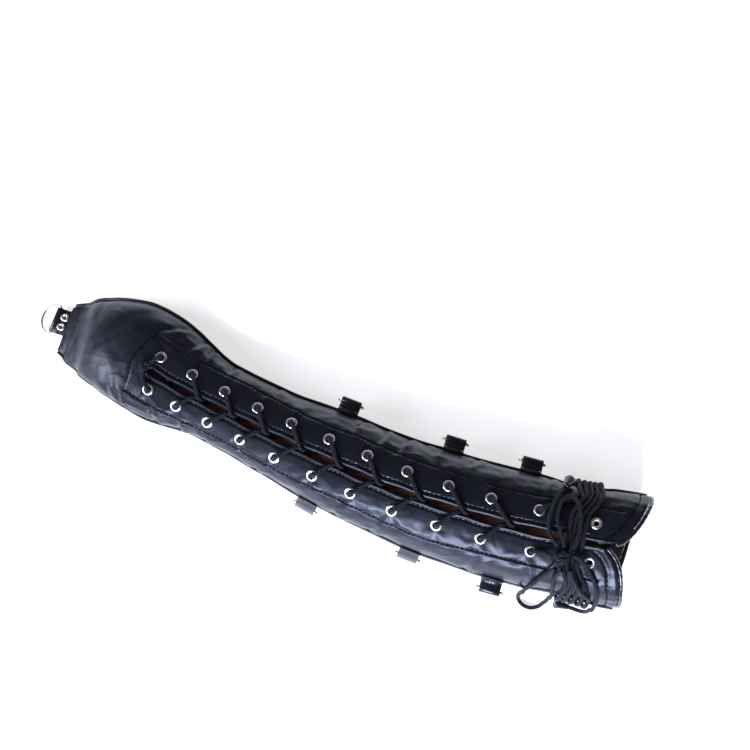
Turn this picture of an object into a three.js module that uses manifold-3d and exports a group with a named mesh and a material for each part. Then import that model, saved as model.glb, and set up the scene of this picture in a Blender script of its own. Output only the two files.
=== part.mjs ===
// Lace-up arm sleeve with a closed mitt end: soft leather-look panels, eyelet rows,
// one lace with a bow at the cuff, and seven D-rings that turn in sewn leather tabs.
// Millimetres, +Z up, +X runs from the mitt end to the cuff. The sleeve lies flat.
import * as THREE from 'three';
import { mergeVertices } from 'three/addons/utils/BufferGeometryUtils.js';
import Module from 'manifold-3d';

const wasm = await Module();
wasm.setup();

// ---------------------------------------------------------------- driving dimensions
// station x, middle of the sleeve y, half width, height, height of the underside,
// and how far the crown leans to the near side
const STATIONS = [
  [-298, -56.3, 20.2, 4.3, 3.2, 0.0],
  [-286, -54.7, 27.5, 4.3, 3.2, 0.0],
  [-278, -54.4, 31.0, 13.0, 1.6, 3.7],
  [-264, -53.4, 38.0, 28.0, 0.0, 6.3],
  [-243, -53.4, 43.8, 40.0, 0.0, 7.9],
  [-222, -54.6, 48.0, 46.5, 0.0, 8.7],
  [-200, -58.5, 48.7, 50.0, 0.0, 9.0],
  [-180, -64.1, 47.4, 51.0, 0.0, 8.7],
  [-157, -68.8, 42.4, 51.0, 0.0, 8.2],
  [-141, -71.8, 38.6, 51.0, 0.0, 7.8],
  [-127, -74.1, 36.7, 51.5, 0.0, 7.5],
  [-101, -78.1, 37.0, 54.0, 0.0, 7.2],
  [-62, -84.0, 38.7, 58.0, 0.0, 6.7],
  [-10, -89.8, 43.4, 64.0, 0.0, 6.0],
  [57, -95.8, 45.8, 69.5, 0.0, 5.1],
  [90, -97.0, 48.0, 71.5, 0.0, 4.2],
  [125, -96.6, 48.6, 73.0, 0.0, 3.3],
  [168, -94.4, 49.9, 74.0, 0.0, 2.6],
  [192, -92.4, 49.7, 74.5, 0.0, 2.0],
  [207, -91.2, 48.6, 74.2, 1.2, 1.5],
  [219, -90.0, 48.2, 72.0, 4.6, 1.1],
  [232, -88.7, 48.4, 71.4, 5.0, 0.9],
  [246, -86.9, 49.9, 73.2, 4.6, 0.7],
  [260, -84.8, 51.6, 78.2, 0.2, 0.6],
  [276, -82.0, 51.6, 79.0, 0.0, 0.5],
  [292, -79.0, 51.4, 79.0, 0.0, 0.5],
];
const SEAM = 0.45;            // side seam height as a share of the section height
const E_TOP = 2 / 2.2;        // roundness of the upper half section
const E_LOW = 2 / 2.5;        // roundness of the lower half section
const LEATHER = 2.0;          // panel thickness
const FACING = 1.2;           // reinforcement under the eyelet rows
const GAP = 0.3;              // clearance between touching pieces
const X_TIP = -298, X_CUFF = 292;
const SLIT_START = -190, SLIT_HALF = 4.2;
// where the cuff edge lies, by distance across from the slit line; the far flap is the longer one
const EDGE = {
  far: [[0, 236], [1.5, 243], [2.4, 251], [6.4, 259], [14.4, 266.7], [24, 272.8], [38, 281], [51.4, 288.5]],
  near: [[0, 237], [1.5, 243.7], [6.1, 250.2], [12.4, 256], [20, 260.2], [31.5, 263.4], [40, 265.2], [51.4, 269]],
};
function edgeX(side, n) {
  const t = side > 0 ? EDGE.far : EDGE.near, q = Math.min(Math.max(n, 0), 51.4);
  let i = 0;
  while (i < t.length - 2 && q > t[i + 1][0]) i++;
  return t[i][1] + (q - t[i][0]) / (t[i + 1][0] - t[i][0]) * (t[i + 1][1] - t[i][1]);
}
const underX = (n) => (288.5 + 269) / 2 + n * (288.5 - 269) / 102.8;   // underside edge, n positive on the far side
const FACING_START = -216, FACING_HALF = 36;
const TONGUE_HALF = 41, TONGUE_START = -206, TONGUE_END = 233;
const EYELET_X = [-187.7, -154.4, -120.4, -86.1, -51.5, -13.8, 23.7, 62.4, 102.2, 141.6, 185.5, 236];
const NEAR_DX = [7.4, 2.5];        // the near row starts a little further from the tip
const EYELET_W = [15.6, 16.3, 16.3, 16.6, 17.6, 18.2, 18.6, 18.8, 18.2, 18.2, 18.4, 17.4];
const EYELET_R = 5.3, EYELET_BORE = 2.6, EYELET_BARREL = 3.0;
const LACE_R = 1.9;
const RING_WIRE = 1.5, RING_HALF = 12, RING_DEPTH = 18;
const TAB_WIDTH = 19, TAB_REACH = 11, TAB_THICK = 1.6;
const SIDE_TABS = [
  ['far_1', -11.5, 1, 0], ['far_2', 97.5, 1, 0], ['far_3', 175, 1, 0],
  ['near_1', -10, -1, 1], ['near_2', 89, -1, 1], ['near_3', 164, -1, 0],
];
const WRAP_X = 209.5, WRAP_PITCH = 4.4, WRAP_TURNS = 5;

// ---------------------------------------------------------------- section of the sleeve
function pchip(col) {
  const xs = STATIONS.map((s) => s[0]), ys = STATIONS.map((s) => s[col]);
  const n = xs.length, h = [], d = [], m = new Array(n).fill(0);
  for (let i = 0; i < n - 1; i++) { h.push(xs[i + 1] - xs[i]); d.push((ys[i + 1] - ys[i]) / h[i]); }
  for (let i = 1; i < n - 1; i++) {
    if (d[i - 1] * d[i] > 0) {
      const w1 = 2 * h[i] + h[i - 1], w2 = h[i] + 2 * h[i - 1];
      m[i] = (w1 + w2) / (w1 / d[i - 1] + w2 / d[i]);
    }
  }
  m[0] = d[0]; m[n - 1] = d[n - 2];
  return (x) => {
    const q = Math.min(Math.max(x, xs[0]), xs[n - 1]);
    let i = 0;
    while (i < n - 2 && q > xs[i + 1]) i++;
    const t = (q - xs[i]) / h[i], t2 = t * t, t3 = t2 * t;
    return (2 * t3 - 3 * t2 + 1) * ys[i] + (t3 - 2 * t2 + t) * h[i] * m[i]
      + (-2 * t3 + 3 * t2) * ys[i + 1] + (t3 - t2) * h[i] * m[i + 1];
  };
}
const fY = pchip(1), fA = pchip(2), fH = pchip(3), fZ = pchip(4), fLean = pchip(5);

function section(x) {
  const a = fA(x), H = fH(x), z0 = fZ(x);
  const zs = z0 + SEAM * H;
  return { x, y: fY(x), head: Math.atan((fY(x + 2) - fY(x - 2)) / (Math.min(x + 2, 292) - Math.max(x - 2, -298))), a, z0, zs, lean: fLean(x), up: H * (1 - SEAM), low: H * SEAM + 2.5 };
}
// psi: 0 at the top centre, 90 at the side seam, 180 under the sleeve; side +1 far, -1 near
function nz(s, psi, h) {
  const p = psi * Math.PI / 180;
  const c = Math.abs(Math.sin(p)), v = Math.cos(p);
  if (v >= 0) return [(s.a + h) * c ** E_TOP, s.zs + Math.max(psi < 90 ? 0.17 : 0, (s.up + h) * v ** E_TOP)];
  return [(s.a + h) * c ** E_LOW, Math.min(s.zs - 0.17, Math.max(s.z0 - h, s.zs - (s.low + h) * (-v) ** E_LOW))];
}
function place(s, across, z) {
  const n = across - s.lean * Math.max(0, (z - s.zs) / s.up);
  return new THREE.Vector3(s.x - n * Math.sin(s.head), s.y + n * Math.cos(s.head), z);
}
function onPsi(x, psi, side, h) {
  const s = section(x), [n, z] = nz(s, psi, h);
  return place(s, side * n, z);
}
const arcCache = new Map();
function arcTable(x) {
  const key = Math.round(x * 100);
  if (!arcCache.has(key)) {
    const s = section(x), t = [0];
    let [pn, pz] = nz(s, 0, 0);
    for (let i = 1; i <= 360; i++) {
      const [n, z] = nz(s, i / 2, 0);
      t.push(t[i - 1] + Math.hypot(n - pn, z - pz));
      pn = n; pz = z;
    }
    arcCache.set(key, t);
  }
  return arcCache.get(key);
}
function psiOf(x, w) {
  const t = arcTable(x), q = Math.abs(w);
  let i = 0;
  while (i < 359 && t[i + 1] < q) i++;
  return (i + (q - t[i]) / (t[i + 1] - t[i])) / 2;
}
// x along the sleeve, w the distance round it from the top centre, h above the leather
function at(x, w, h) { return onPsi(x, psiOf(x, w), Math.sign(w) || 1, h); }
function frameAt(x, w) {
  const p = at(x, w, 0);
  const du = at(x + 1, w, 0).sub(at(x - 1, w, 0)).normalize();
  const dw = at(x, w + 1, 0).sub(at(x, w - 1, 0)).normalize();
  const n = new THREE.Vector3().crossVectors(du, dw).normalize();
  return { p, u: du, n, v: new THREE.Vector3().crossVectors(n, du).normalize() };
}

// ---------------------------------------------------------------- mesh helpers
function indexed(verts, tris) {
  let vol = 0;
  for (let i = 0; i < tris.length; i += 3) {
    const a = verts[tris[i]], b = verts[tris[i + 1]], c = verts[tris[i + 2]];
    vol += a.x * (b.y * c.z - b.z * c.y) - a.y * (b.x * c.z - b.z * c.x) + a.z * (b.x * c.y - b.y * c.x);
  }
  if (vol < 0) for (let i = 0; i < tris.length; i += 3) { const t = tris[i]; tris[i] = tris[i + 1]; tris[i + 1] = t; }
  const g = new THREE.BufferGeometry();
  g.setAttribute('position', new THREE.BufferAttribute(new Float32Array(verts.flatMap((v) => [v.x, v.y, v.z])), 3));
  g.setIndex(tris);
  g.computeVertexNormals();
  return g;
}
// closed slab between two grids of the same size
function slab(outer, inner, nu, nv) {
  const verts = [], tris = [], id = (k, i, j) => k * (nu + 1) * (nv + 1) + i * (nv + 1) + j;
  for (const f of [outer, inner]) for (let i = 0; i <= nu; i++) for (let j = 0; j <= nv; j++) verts.push(f(i, j));
  const quad = (a, b, c, d) => tris.push(a, b, c, a, c, d);
  for (let i = 0; i < nu; i++) for (let j = 0; j < nv; j++) {
    quad(id(0, i, j), id(0, i + 1, j), id(0, i + 1, j + 1), id(0, i, j + 1));
    quad(id(1, i, j), id(1, i, j + 1), id(1, i + 1, j + 1), id(1, i + 1, j));
  }
  for (let i = 0; i < nu; i++) {
    quad(id(0, i, 0), id(1, i, 0), id(1, i + 1, 0), id(0, i + 1, 0));
    quad(id(0, i, nv), id(0, i + 1, nv), id(1, i + 1, nv), id(1, i, nv));
  }
  for (let j = 0; j < nv; j++) {
    quad(id(0, 0, j), id(0, 0, j + 1), id(1, 0, j + 1), id(1, 0, j));
    quad(id(0, nu, j), id(1, nu, j), id(1, nu, j + 1), id(0, nu, j + 1));
  }
  return indexed(verts, tris);
}
// round bar along a polyline, flat ends or closed on itself
function bar(pts, r, sides, closed = false) {
  const n = pts.length, verts = [], tris = [];
  const tan = pts.map((p, i) => {
    const a = closed ? pts[(i + n - 1) % n] : pts[Math.max(i - 1, 0)];
    const b = closed ? pts[(i + 1) % n] : pts[Math.min(i + 1, n - 1)];
    const t1 = new THREE.Vector3().subVectors(p, a).normalize(), t2 = new THREE.Vector3().subVectors(b, p).normalize();
    return t1.add(t2).normalize();
  });
  let nrm = Math.abs(tan[0].z) < 0.8 ? new THREE.Vector3(0, 0, 1) : new THREE.Vector3(1, 0, 0);
  for (let i = 0; i < n; i++) {
    nrm = nrm.clone().addScaledVector(tan[i], -nrm.dot(tan[i])).normalize();
    const bi = new THREE.Vector3().crossVectors(tan[i], nrm);
    for (let k = 0; k < sides; k++) {
      const q = 2 * Math.PI * k / sides;
      verts.push(pts[i].clone().addScaledVector(nrm, r * Math.cos(q)).addScaledVector(bi, r * Math.sin(q)));
    }
  }
  const last = closed ? n : n - 1;
  for (let i = 0; i < last; i++) for (let k = 0; k < sides; k++) {
    const a = i * sides + k, b = i * sides + (k + 1) % sides;
    const c = ((i + 1) % n) * sides + (k + 1) % sides, d = ((i + 1) % n) * sides + k;
    tris.push(a, b, c, a, c, d);
  }
  if (!closed) for (let k = 1; k < sides - 1; k++) {
    tris.push(0, k + 1, k);
    const o = (n - 1) * sides;
    tris.push(o, o + k, o + k + 1);
  }
  return indexed(verts, tris);
}
function toManifold(geometry) {
  const g = geometry.clone();
  for (const k of Object.keys(g.attributes)) if (k !== 'position') g.deleteAttribute(k);
  const m = mergeVertices(g, 1e-4);
  return new wasm.Manifold(new wasm.Mesh({
    numProp: 3, vertProperties: Float32Array.from(m.attributes.position.array), triVerts: Uint32Array.from(m.index.array),
  }));
}
function fromManifold(man) {
  const m = man.getMesh(), g = new THREE.BufferGeometry();
  const p = new Float32Array(m.numVert * 3);
  for (let i = 0; i < m.numVert; i++) for (let k = 0; k < 3; k++) p[3 * i + k] = m.vertProperties[i * m.numProp + k];
  g.setAttribute('position', new THREE.BufferAttribute(p, 3));
  g.setIndex(new THREE.BufferAttribute(Uint32Array.from(m.triVerts), 1));
  g.computeVertexNormals();
  return g;
}
function lathe(profile, segments) {
  const pts = profile.map(([r, z]) => new THREE.Vector2(r, z));
  const g = new THREE.LatheGeometry(pts, segments);
  g.rotateX(Math.PI / 2);      // the lathe axis becomes Z
  return g;
}
function toFrame(geometry, origin, xAxis, yAxis, zAxis) {
  return geometry.applyMatrix4(new THREE.Matrix4().makeBasis(xAxis, yAxis, zAxis).setPosition(origin));
}
const mat = (color, roughness, metalness = 0) => new THREE.MeshStandardMaterial({ color, roughness, metalness });
const M = {
  leather: mat('#1d1e26', 0.42), gloss: mat('#16171c', 0.25), lining: mat('#5a2f28', 0.9),
  lace: mat('#141416', 0.85), nickel: mat('#c9c8c4', 0.25, 1), welt: mat('#221f22', 0.5),
};
const group = new THREE.Group();
function add(name, geometry, material, extra) {
  const m = new THREE.Mesh(geometry, material.clone());
  m.name = name;
  if (extra) m.userData = extra;
  group.add(m);
  return m;
}

// ---------------------------------------------------------------- panels
const range = (a, b, n) => Array.from({ length: n + 1 }, (_, i) => a + (b - a) * i / n);
const XS_TOP = [-298, -286, -282, -278, -273, -267, -258, -246, -232, -216, -200, -182, -164, -148, -134, -118, -98, -70, -36, 4, 48, 92, 136, 174, 190, 198, 206, 219, 232, 246, 254, 262, 276, X_CUFF];
const PSI_TOP = [-89.6, -79, -65, -50, -35, -20, -7, 7, 20, 35, 50, 65, 79, 89.6];
const gridAt = (xs, psis, h) => (i, j) => onPsi(xs[i], Math.abs(psis[j]), Math.sign(psis[j]) || 1, h);
let topPanel = toManifold(slab(gridAt(XS_TOP, PSI_TOP, 0), gridAt(XS_TOP, PSI_TOP, -LEATHER), XS_TOP.length - 1, PSI_TOP.length - 1));

const XS_LOW = [-298, -286, -282, -278, -273, -267, -258, -246, -232, -200, -164, -134, -98, -36, 48, 136, 190, 198, 207, 219, 232, 246, 260, X_CUFF];
const PSI_LOW = [90.6, 100, 112, 126, 141, 156, 180];
const lowGrid = (h) => (i, j) => {
  const k = PSI_LOW.length - 1, psi = j <= k ? PSI_LOW[j] : PSI_LOW[2 * k - j];
  return onPsi(XS_LOW[i], psi, j <= k ? 1 : -1, h);
};
let lowPanel = toManifold(slab(lowGrid(0), lowGrid(-LEATHER), XS_LOW.length - 1, 2 * (PSI_LOW.length - 1)));

// slit and shaped cuff, as a plan outline; back draws the cut away from its edge
const plan = (x, n) => { const c = section(x), p = place(c, n, c.zs + c.up); return new THREE.Vector2(p.x, p.y); };
function prism(pts, z0, z1) {
  const g = new THREE.ExtrudeGeometry(new THREE.Shape(pts), { depth: z1 - z0, bevelEnabled: false });
  g.translate(0, 0, z0);
  return toManifold(g);
}
function cutter(half, back, start) {
  const pts = [];
  const one = (sgn) => {
    const out = [];
    for (const q of [30, 60, 90]) out.push(plan(start + half * (1 - Math.cos(q * Math.PI / 180)), sgn * half * Math.sin(q * Math.PI / 180)));
    for (let x = start + 14; x < edgeX(sgn, half) - back - 6; x += 13) out.push(plan(x, sgn * half));
    for (const n of [0, 1.5, 4, 8, 13, 19, 27, 36, 51.4 - half]) out.push(plan(edgeX(sgn, half + n) - back, sgn * (half + n)));
    out.push(plan(320, sgn * 75));
    return out;
  };
  pts.push(plan(start, 0), ...one(1), ...one(-1).reverse());
  return prism(pts, 22, 142);
}
lowPanel = lowPanel.subtract(prism([plan(underX(75), 75), plan(underX(0), 0), plan(underX(-75), -75), plan(330, -75), plan(330, 75)], -12, 60));
topPanel = topPanel.subtract(cutter(SLIT_HALF, 0, SLIT_START));

const XS_FACE = [FACING_START, -200, -182, -164, -148, -134, -118, -98, -70, -36, 4, 48, 92, 136, 174, 190, 198, 207, 219, 232, 246, 254, 262, 276, X_CUFF - 1];
const W_FACE = [-FACING_HALF, -24, -12, 0, 12, 24, FACING_HALF];
const faceGrid = (h) => (i, j) => {
  const taper = i === 0 ? 0.6 : 1;
  return at(XS_FACE[i], W_FACE[j] * taper, h);
};
let facing = toManifold(slab(faceGrid(-LEATHER - GAP - 0.3), faceGrid(-LEATHER - GAP - 0.3 - FACING), XS_FACE.length - 1, W_FACE.length - 1));
facing = facing.subtract(cutter(SLIT_HALF, 1.2, SLIT_START));

// ---------------------------------------------------------------- eyelets
const frames = [];
for (const [tag, side] of [['far', 1], ['near', -1]]) {
  EYELET_X.forEach((x, i) => {
    const f = frameAt(x + (side < 0 ? NEAR_DX[i] ?? 0 : 0), side * EYELET_W[i]);
    frames.push({ tag, i, side, ...f });
    const hole = lathe([[0, -9], [3.45, -9], [3.45, 6], [0, 6]], 8);
    toFrame(hole, f.p, f.u, f.v, f.n);
    const cut = toManifold(hole);
    topPanel = topPanel.subtract(cut);
    facing = facing.subtract(cut);
    const eye = lathe([[EYELET_BORE, -4.3], [EYELET_BARREL, -4.3], [EYELET_BARREL, 0.3], [EYELET_R, 0.3], [4.3, 1.3], [EYELET_BORE + 0.2, 1.1], [EYELET_BORE, -4.3]], 8);
    toFrame(eye, f.p, f.u, f.v, f.n);
    add(`eyelet_${tag}_${String(i + 1).padStart(2, '0')}`, eye, M.nickel);
  });
}

// ---------------------------------------------------------------- closed tip and its rivets
const TIP_FAR = onPsi(-291.4, 90, 1, 0), TIP_NEAR = onPsi(X_TIP, 90, -1, 0);
const TIP_ALONG = new THREE.Vector3().subVectors(TIP_FAR, TIP_NEAR).setZ(0).normalize();
const TIP_OUT = new THREE.Vector3(-TIP_ALONG.y, TIP_ALONG.x, 0);
const TIP_MID = TIP_FAR.clone().add(TIP_NEAR).multiplyScalar(0.5).addScaledVector(TIP_OUT, -0.1).setZ(5.35);
const tipAt = (o, a) => TIP_MID.clone().addScaledVector(TIP_OUT, o).addScaledVector(TIP_ALONG, a);
{
  const q = (o, a) => { const p = tipAt(o, a); return new THREE.Vector2(p.x, p.y); };
  const cut = prism([q(0, -40), q(0, 40), q(50, 40), q(50, -40)], -12, 60);
  topPanel = topPanel.subtract(cut);
  lowPanel = lowPanel.subtract(cut);
}
const TAB_SHIFT = 4.6, RIVET_OUT = 4.35;        // the end tab sits a little to the far side of the tip
for (const [k, dy] of [['far', 4.85], ['near', -4.85]]) {
  const rivet = lathe([[0, -3.3], [3.0, -3.3], [3.4, -2.9], [3.4, -2.05], [1.5, -2.05], [1.5, 2.05], [3.95, 2.05], [3.9, 2.7], [3.2, 3.3], [1.9, 3.3], [1.5, 2.7], [0, 2.7]], 14);
  rivet.translate(...tipAt(RIVET_OUT, TAB_SHIFT + dy).toArray());
  add(`rivet_end_${k}`, rivet, M.nickel);
}
add('top_panel', fromManifold(topPanel), M.leather);
add('underside_panel', fromManifold(lowPanel), M.leather);
add('eyelet_facing', fromManifold(facing), M.leather);

const XS_TONGUE = [TONGUE_START, -182, -164, -148, -134, -118, -98, -70, -36, 4, 48, 92, 136, 174, 190, 198, 207, 219, TONGUE_END];
const W_TONGUE = [-TONGUE_HALF, -24, -8, 8, 24, TONGUE_HALF];
const tongueGrid = (h) => (i, j) => at(XS_TONGUE[i], W_TONGUE[j] * (i === 0 ? 0.7 : 1), h);
add('tongue', slab(tongueGrid(-10.6), tongueGrid(-12.0), XS_TONGUE.length - 1, W_TONGUE.length - 1), M.lining);

// ---------------------------------------------------------------- side seam piping
for (const [tag, side] of [['far', 1], ['near', -1]]) {
  const pts = [-284, -278, -271, -262, -250, -236, -220, -200, -180, -160, -141, -127, -98, -66, -30, 10, 60, 110, 150, 190, 198, 207, 219, 232, 246, 258, edgeX(side, 51.4) - 1]
    .map((x) => onPsi(x, 90, side, 1.5 + GAP + 0.5));
  add(`side_piping_${tag}`, bar(pts, 1.5, 5), M.welt);
}

// ---------------------------------------------------------------- cuff binding
{
  const edgeP = (side, psi) => {
    const x0 = psi <= 90 ? 270 : 279, n = nz(section(x0), psi, 0)[0];
    return onPsi(psi <= 90 ? edgeX(side, n) : underX(side * n), psi, side, -1);
  };
  const rim = (side, psi) => {
    const a = Math.max(psi - 1.5, 1), b = Math.min(psi + 1.5, 179), p = edgeP(side, psi);
    const t = new THREE.Vector3().subVectors(edgeP(side, b), edgeP(side, a)).normalize();
    const lift = new THREE.Vector3().subVectors(onPsi(p.x, Math.min(Math.max(psi, 3), 177), side, 2), onPsi(p.x, Math.min(Math.max(psi, 3), 177), side, 0)).normalize();
    const out = new THREE.Vector3().crossVectors(t, lift).normalize();
    if (out.x < 0) out.negate();
    p.addScaledVector(out, psi > 70 && psi < 110 ? 2.6 : 2.3);
    p.z = Math.max(p.z, 2.15);
    return p;
  };
  const psis = [6, 9, 12.5, 17, 23, 30, 39, 49, 60, 72, 81, 90, 102, 115, 130, 146, 164];
  const pts = [...psis.map((q) => rim(1, q)), rim(1, 180), ...psis.slice().reverse().map((q) => rim(-1, q))];
  add('cuff_binding', bar(pts, 1.9, 7), M.gloss);
}

// ---------------------------------------------------------------- tabs and D-rings
function ringPath() {
  const p = [];
  const H = RING_HALF, c = 3;
  p.push([-H + c, 0], [0, 0], [H - c, 0]);
  for (const q of [40, 80]) p.push([H - c + c * Math.sin(q * Math.PI / 180), -c + c * Math.cos(q * Math.PI / 180)]);
  for (const q of [12, 32, 54, 76, 104, 126, 148, 168]) p.push([H * Math.cos(q * Math.PI / 180), -c - (RING_DEPTH - c) * Math.sin(q * Math.PI / 180)]);
  for (const q of [80, 40]) p.push([-(H - c + c * Math.sin(q * Math.PI / 180)), -c + c * Math.cos(q * Math.PI / 180)]);
  return p;
}
// out: away from the sleeve; tab outline in (out, up), legs straddle the seam
function tabGeometry(legUp, legDown, halfGap, reach, legStart) {
  const s = new THREE.Shape(), r = 3.7, t = TAB_THICK;
  s.moveTo(legStart, halfGap);
  for (const p of legUp) s.lineTo(p[0], p[1]);
  s.lineTo(reach - 5.5, 3.0);
  for (const q of [120, 90, 60, 30, 0, -30, -60, -90, -120]) s.lineTo(reach + r * Math.cos(q * Math.PI / 180), r * Math.sin(q * Math.PI / 180));
  s.lineTo(reach - 5.5, -3.0);
  for (const p of legDown) s.lineTo(p[0], p[1]);
  s.lineTo(legStart, -halfGap);
  for (const q of [-50, -17, 17, 50]) s.lineTo(legStart + 0.2 + (halfGap + 0.9) * Math.cos(q * Math.PI / 180), (halfGap) * Math.sin(q * Math.PI / 180) * 1.15);
  const hole = new THREE.Path();
  for (let k = 0; k < 9; k++) {
    const q = 2 * Math.PI * k / 9, x = reach + 2.15 * Math.cos(q), y = 2.15 * Math.sin(q);
    if (k === 0) hole.moveTo(x, y); else hole.lineTo(x, y);
  }
  s.holes.push(hole);
  const g = new THREE.ExtrudeGeometry(s, { depth: TAB_WIDTH, bevelEnabled: false, curveSegments: 1 });
  g.translate(0, 0, -TAB_WIDTH / 2);
  return g;
}
const UP = new THREE.Vector3(0, 0, 1);
// the tab turned down along the side, as it hangs under the near edge
function droopedTab() {
  const s = new THREE.Shape(), [cx, cy] = DROOP_EYE, r = 3.7;
  s.moveTo(0, 2.5);
  for (const p of [[0, 8], [TAB_THICK, 8], [TAB_THICK + 0.6, 5.4], [4.2, 3.6], [7.0, 0.4]]) s.lineTo(p[0], p[1]);
  for (const q of [50, 20, -10, -40, -70, -100, -130, -160]) s.lineTo(cx + r * Math.cos(q * Math.PI / 180), cy + r * Math.sin(q * Math.PI / 180));
  for (const p of [[2.0, -6.6], [TAB_THICK, -8], [0, -8], [0, -2.5]]) s.lineTo(p[0], p[1]);
  for (const q of [-50, -17, 17, 50]) s.lineTo(0.2 + 3.4 * Math.cos(q * Math.PI / 180), 2.875 * Math.sin(q * Math.PI / 180));
  const hole = new THREE.Path();
  for (let k = 0; k < 9; k++) {
    const q = 2 * Math.PI * k / 9, x = cx + 2.15 * Math.cos(q), y = cy + 2.15 * Math.sin(q);
    if (k === 0) hole.moveTo(x, y); else hole.lineTo(x, y);
  }
  s.holes.push(hole);
  const g = new THREE.ExtrudeGeometry(s, { depth: TAB_WIDTH, bevelEnabled: false, curveSegments: 1 });
  g.translate(0, 0, -TAB_WIDTH / 2);
  return g;
}
const DROOP_EYE = [6.2, -6.5];
for (const [tag, x, side, droop] of SIDE_TABS) {
  const seam = onPsi(x, 90, side, 0), a = onPsi(x - 9, 90, side, 0), b = onPsi(x + 9, 90, side, 0);
  const along = new THREE.Vector3().subVectors(b, a).setZ(0).normalize();
  const out = new THREE.Vector3(-along.y, along.x, 0).multiplyScalar(side);
  // outward x up gives the axis of extrusion
  const ext = new THREE.Vector3().crossVectors(out, UP);
  seam.addScaledVector(out, 0.55 + (side < 0 ? 0.11 * fLean(x) : 0));
  const legs = [[0, 8], [TAB_THICK, 8], [TAB_THICK + 0.4, 5.6], [3.4, 3.9]];
  const g = droop ? droopedTab() : tabGeometry(legs, legs.slice().reverse().map(([p, q]) => [p, -q]), 2.5, TAB_REACH, 0);
  toFrame(g, seam, out, UP, ext);
  add(`tab_${tag}`, g, M.leather);
  const eye = seam.clone().addScaledVector(out, droop ? DROOP_EYE[0] : TAB_REACH).addScaledVector(UP, droop ? DROOP_EYE[1] : 0);
  const pts = ringPath().map(([u, v]) => eye.clone().addScaledVector(along, u).addScaledVector(UP, v));
  add(`d_ring_${tag}`, bar(pts, RING_WIRE, 7, true), M.nickel, { hinge: [eye.toArray(), along.clone().multiplyScalar(side).toArray()] });
}
{
  // end tab: a strap folded flat round the ring, riveted just outside the tip seam
  const out = TIP_OUT, ext = new THREE.Vector3().crossVectors(out, UP);
  const mid = tipAt(0, TAB_SHIFT);
  const s = new THREE.Shape(), r = 3.7, reach = 11.5;
  s.moveTo(0.35, -1.8); s.lineTo(0.35, 1.8); s.lineTo(8.5, 1.8);
  for (const q of [120, 90, 60, 30, 0, -30, -60, -90, -120]) s.lineTo(reach + r * Math.cos(q * Math.PI / 180), r * Math.sin(q * Math.PI / 180));
  s.lineTo(8.5, -1.8);
  const hole = new THREE.Path();
  for (let k = 0; k < 9; k++) {
    const q = 2 * Math.PI * k / 9, px = reach + 2.15 * Math.cos(q), py = 2.15 * Math.sin(q);
    if (k === 0) hole.moveTo(px, py); else hole.lineTo(px, py);
  }
  s.holes.push(hole);
  const g = new THREE.ExtrudeGeometry(s, { depth: 25, bevelEnabled: false, curveSegments: 1 });
  g.translate(0, 0, -12.5);
  toFrame(g, mid, out, UP, ext);
  let tab = toManifold(g);
  for (const dy of [4.85, -4.85]) {
    const pin = lathe([[0, -20], [1.95, -20], [1.95, 30], [0, 30]], 10);
    pin.translate(...tipAt(RIVET_OUT, TAB_SHIFT + dy).toArray());
    tab = tab.subtract(toManifold(pin));
  }
  add('tab_end', fromManifold(tab), M.leather);
  // the end ring lies out on the surface, drooping from its bar
  const eye = mid.clone().addScaledVector(out, reach), along = TIP_ALONG;
  const half = 14.5, c = 3, depth = 16, path = [[-half + c, 0], [0, 0], [half - c, 0]];
  for (const q of [40, 80]) path.push([half - c + c * Math.sin(q * Math.PI / 180), -c + c * Math.cos(q * Math.PI / 180)]);
  for (const q of [12, 32, 54, 76, 90, 104, 126, 148, 168]) path.push([half * Math.cos(q * Math.PI / 180), -c - (depth - c) * Math.sin(q * Math.PI / 180)]);
  for (const q of [80, 40]) path.push([-(half - c + c * Math.sin(q * Math.PI / 180)), -c + c * Math.cos(q * Math.PI / 180)]);
  const droop = Math.asin((5.35 - RING_WIRE) / depth);
  const dir = out.clone().multiplyScalar(Math.cos(droop)).addScaledVector(UP, -Math.sin(droop));
  const pts = path.map(([u, v]) => eye.clone().addScaledVector(along, u).addScaledVector(dir, -v));
  add('d_ring_end', bar(pts, RING_WIRE, 8, true), M.nickel, { hinge: [eye.toArray(), along.clone().negate().toArray()] });
}

// ---------------------------------------------------------------- lace
const LIFT = 4.5, SINK = -7.6, BEND = 3;
function eyeletIn(f, from) {     // rising through the eyelet, coming from the point "from"
  const d = f.p.clone().addScaledVector(f.n, SINK).sub(from);
  d.addScaledVector(f.n, -d.dot(f.n)).normalize();
  const at2 = (a, h) => f.p.clone().addScaledVector(d, a).addScaledVector(f.n, h);
  const k = BEND;
  return [at2(-7, SINK + 0.2), at2(-k, SINK), at2(-k * 0.293, SINK + k * 0.293), at2(0, SINK + k)];
}
function eyeletOut(f, to) {
  const d = to.clone().sub(f.p);
  d.addScaledVector(f.n, -d.dot(f.n)).normalize();
  const at2 = (a, h) => f.p.clone().addScaledVector(d, a).addScaledVector(f.n, h);
  const k = BEND;
  return [at2(0, LIFT - k), at2(k * 0.293, LIFT - k * 0.293), at2(k, LIFT), at2(7.5, LIFT - 1.0)];
}
const eyeFrame = (i, side) => frames.find((f) => f.i === i && f.side === side);
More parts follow.
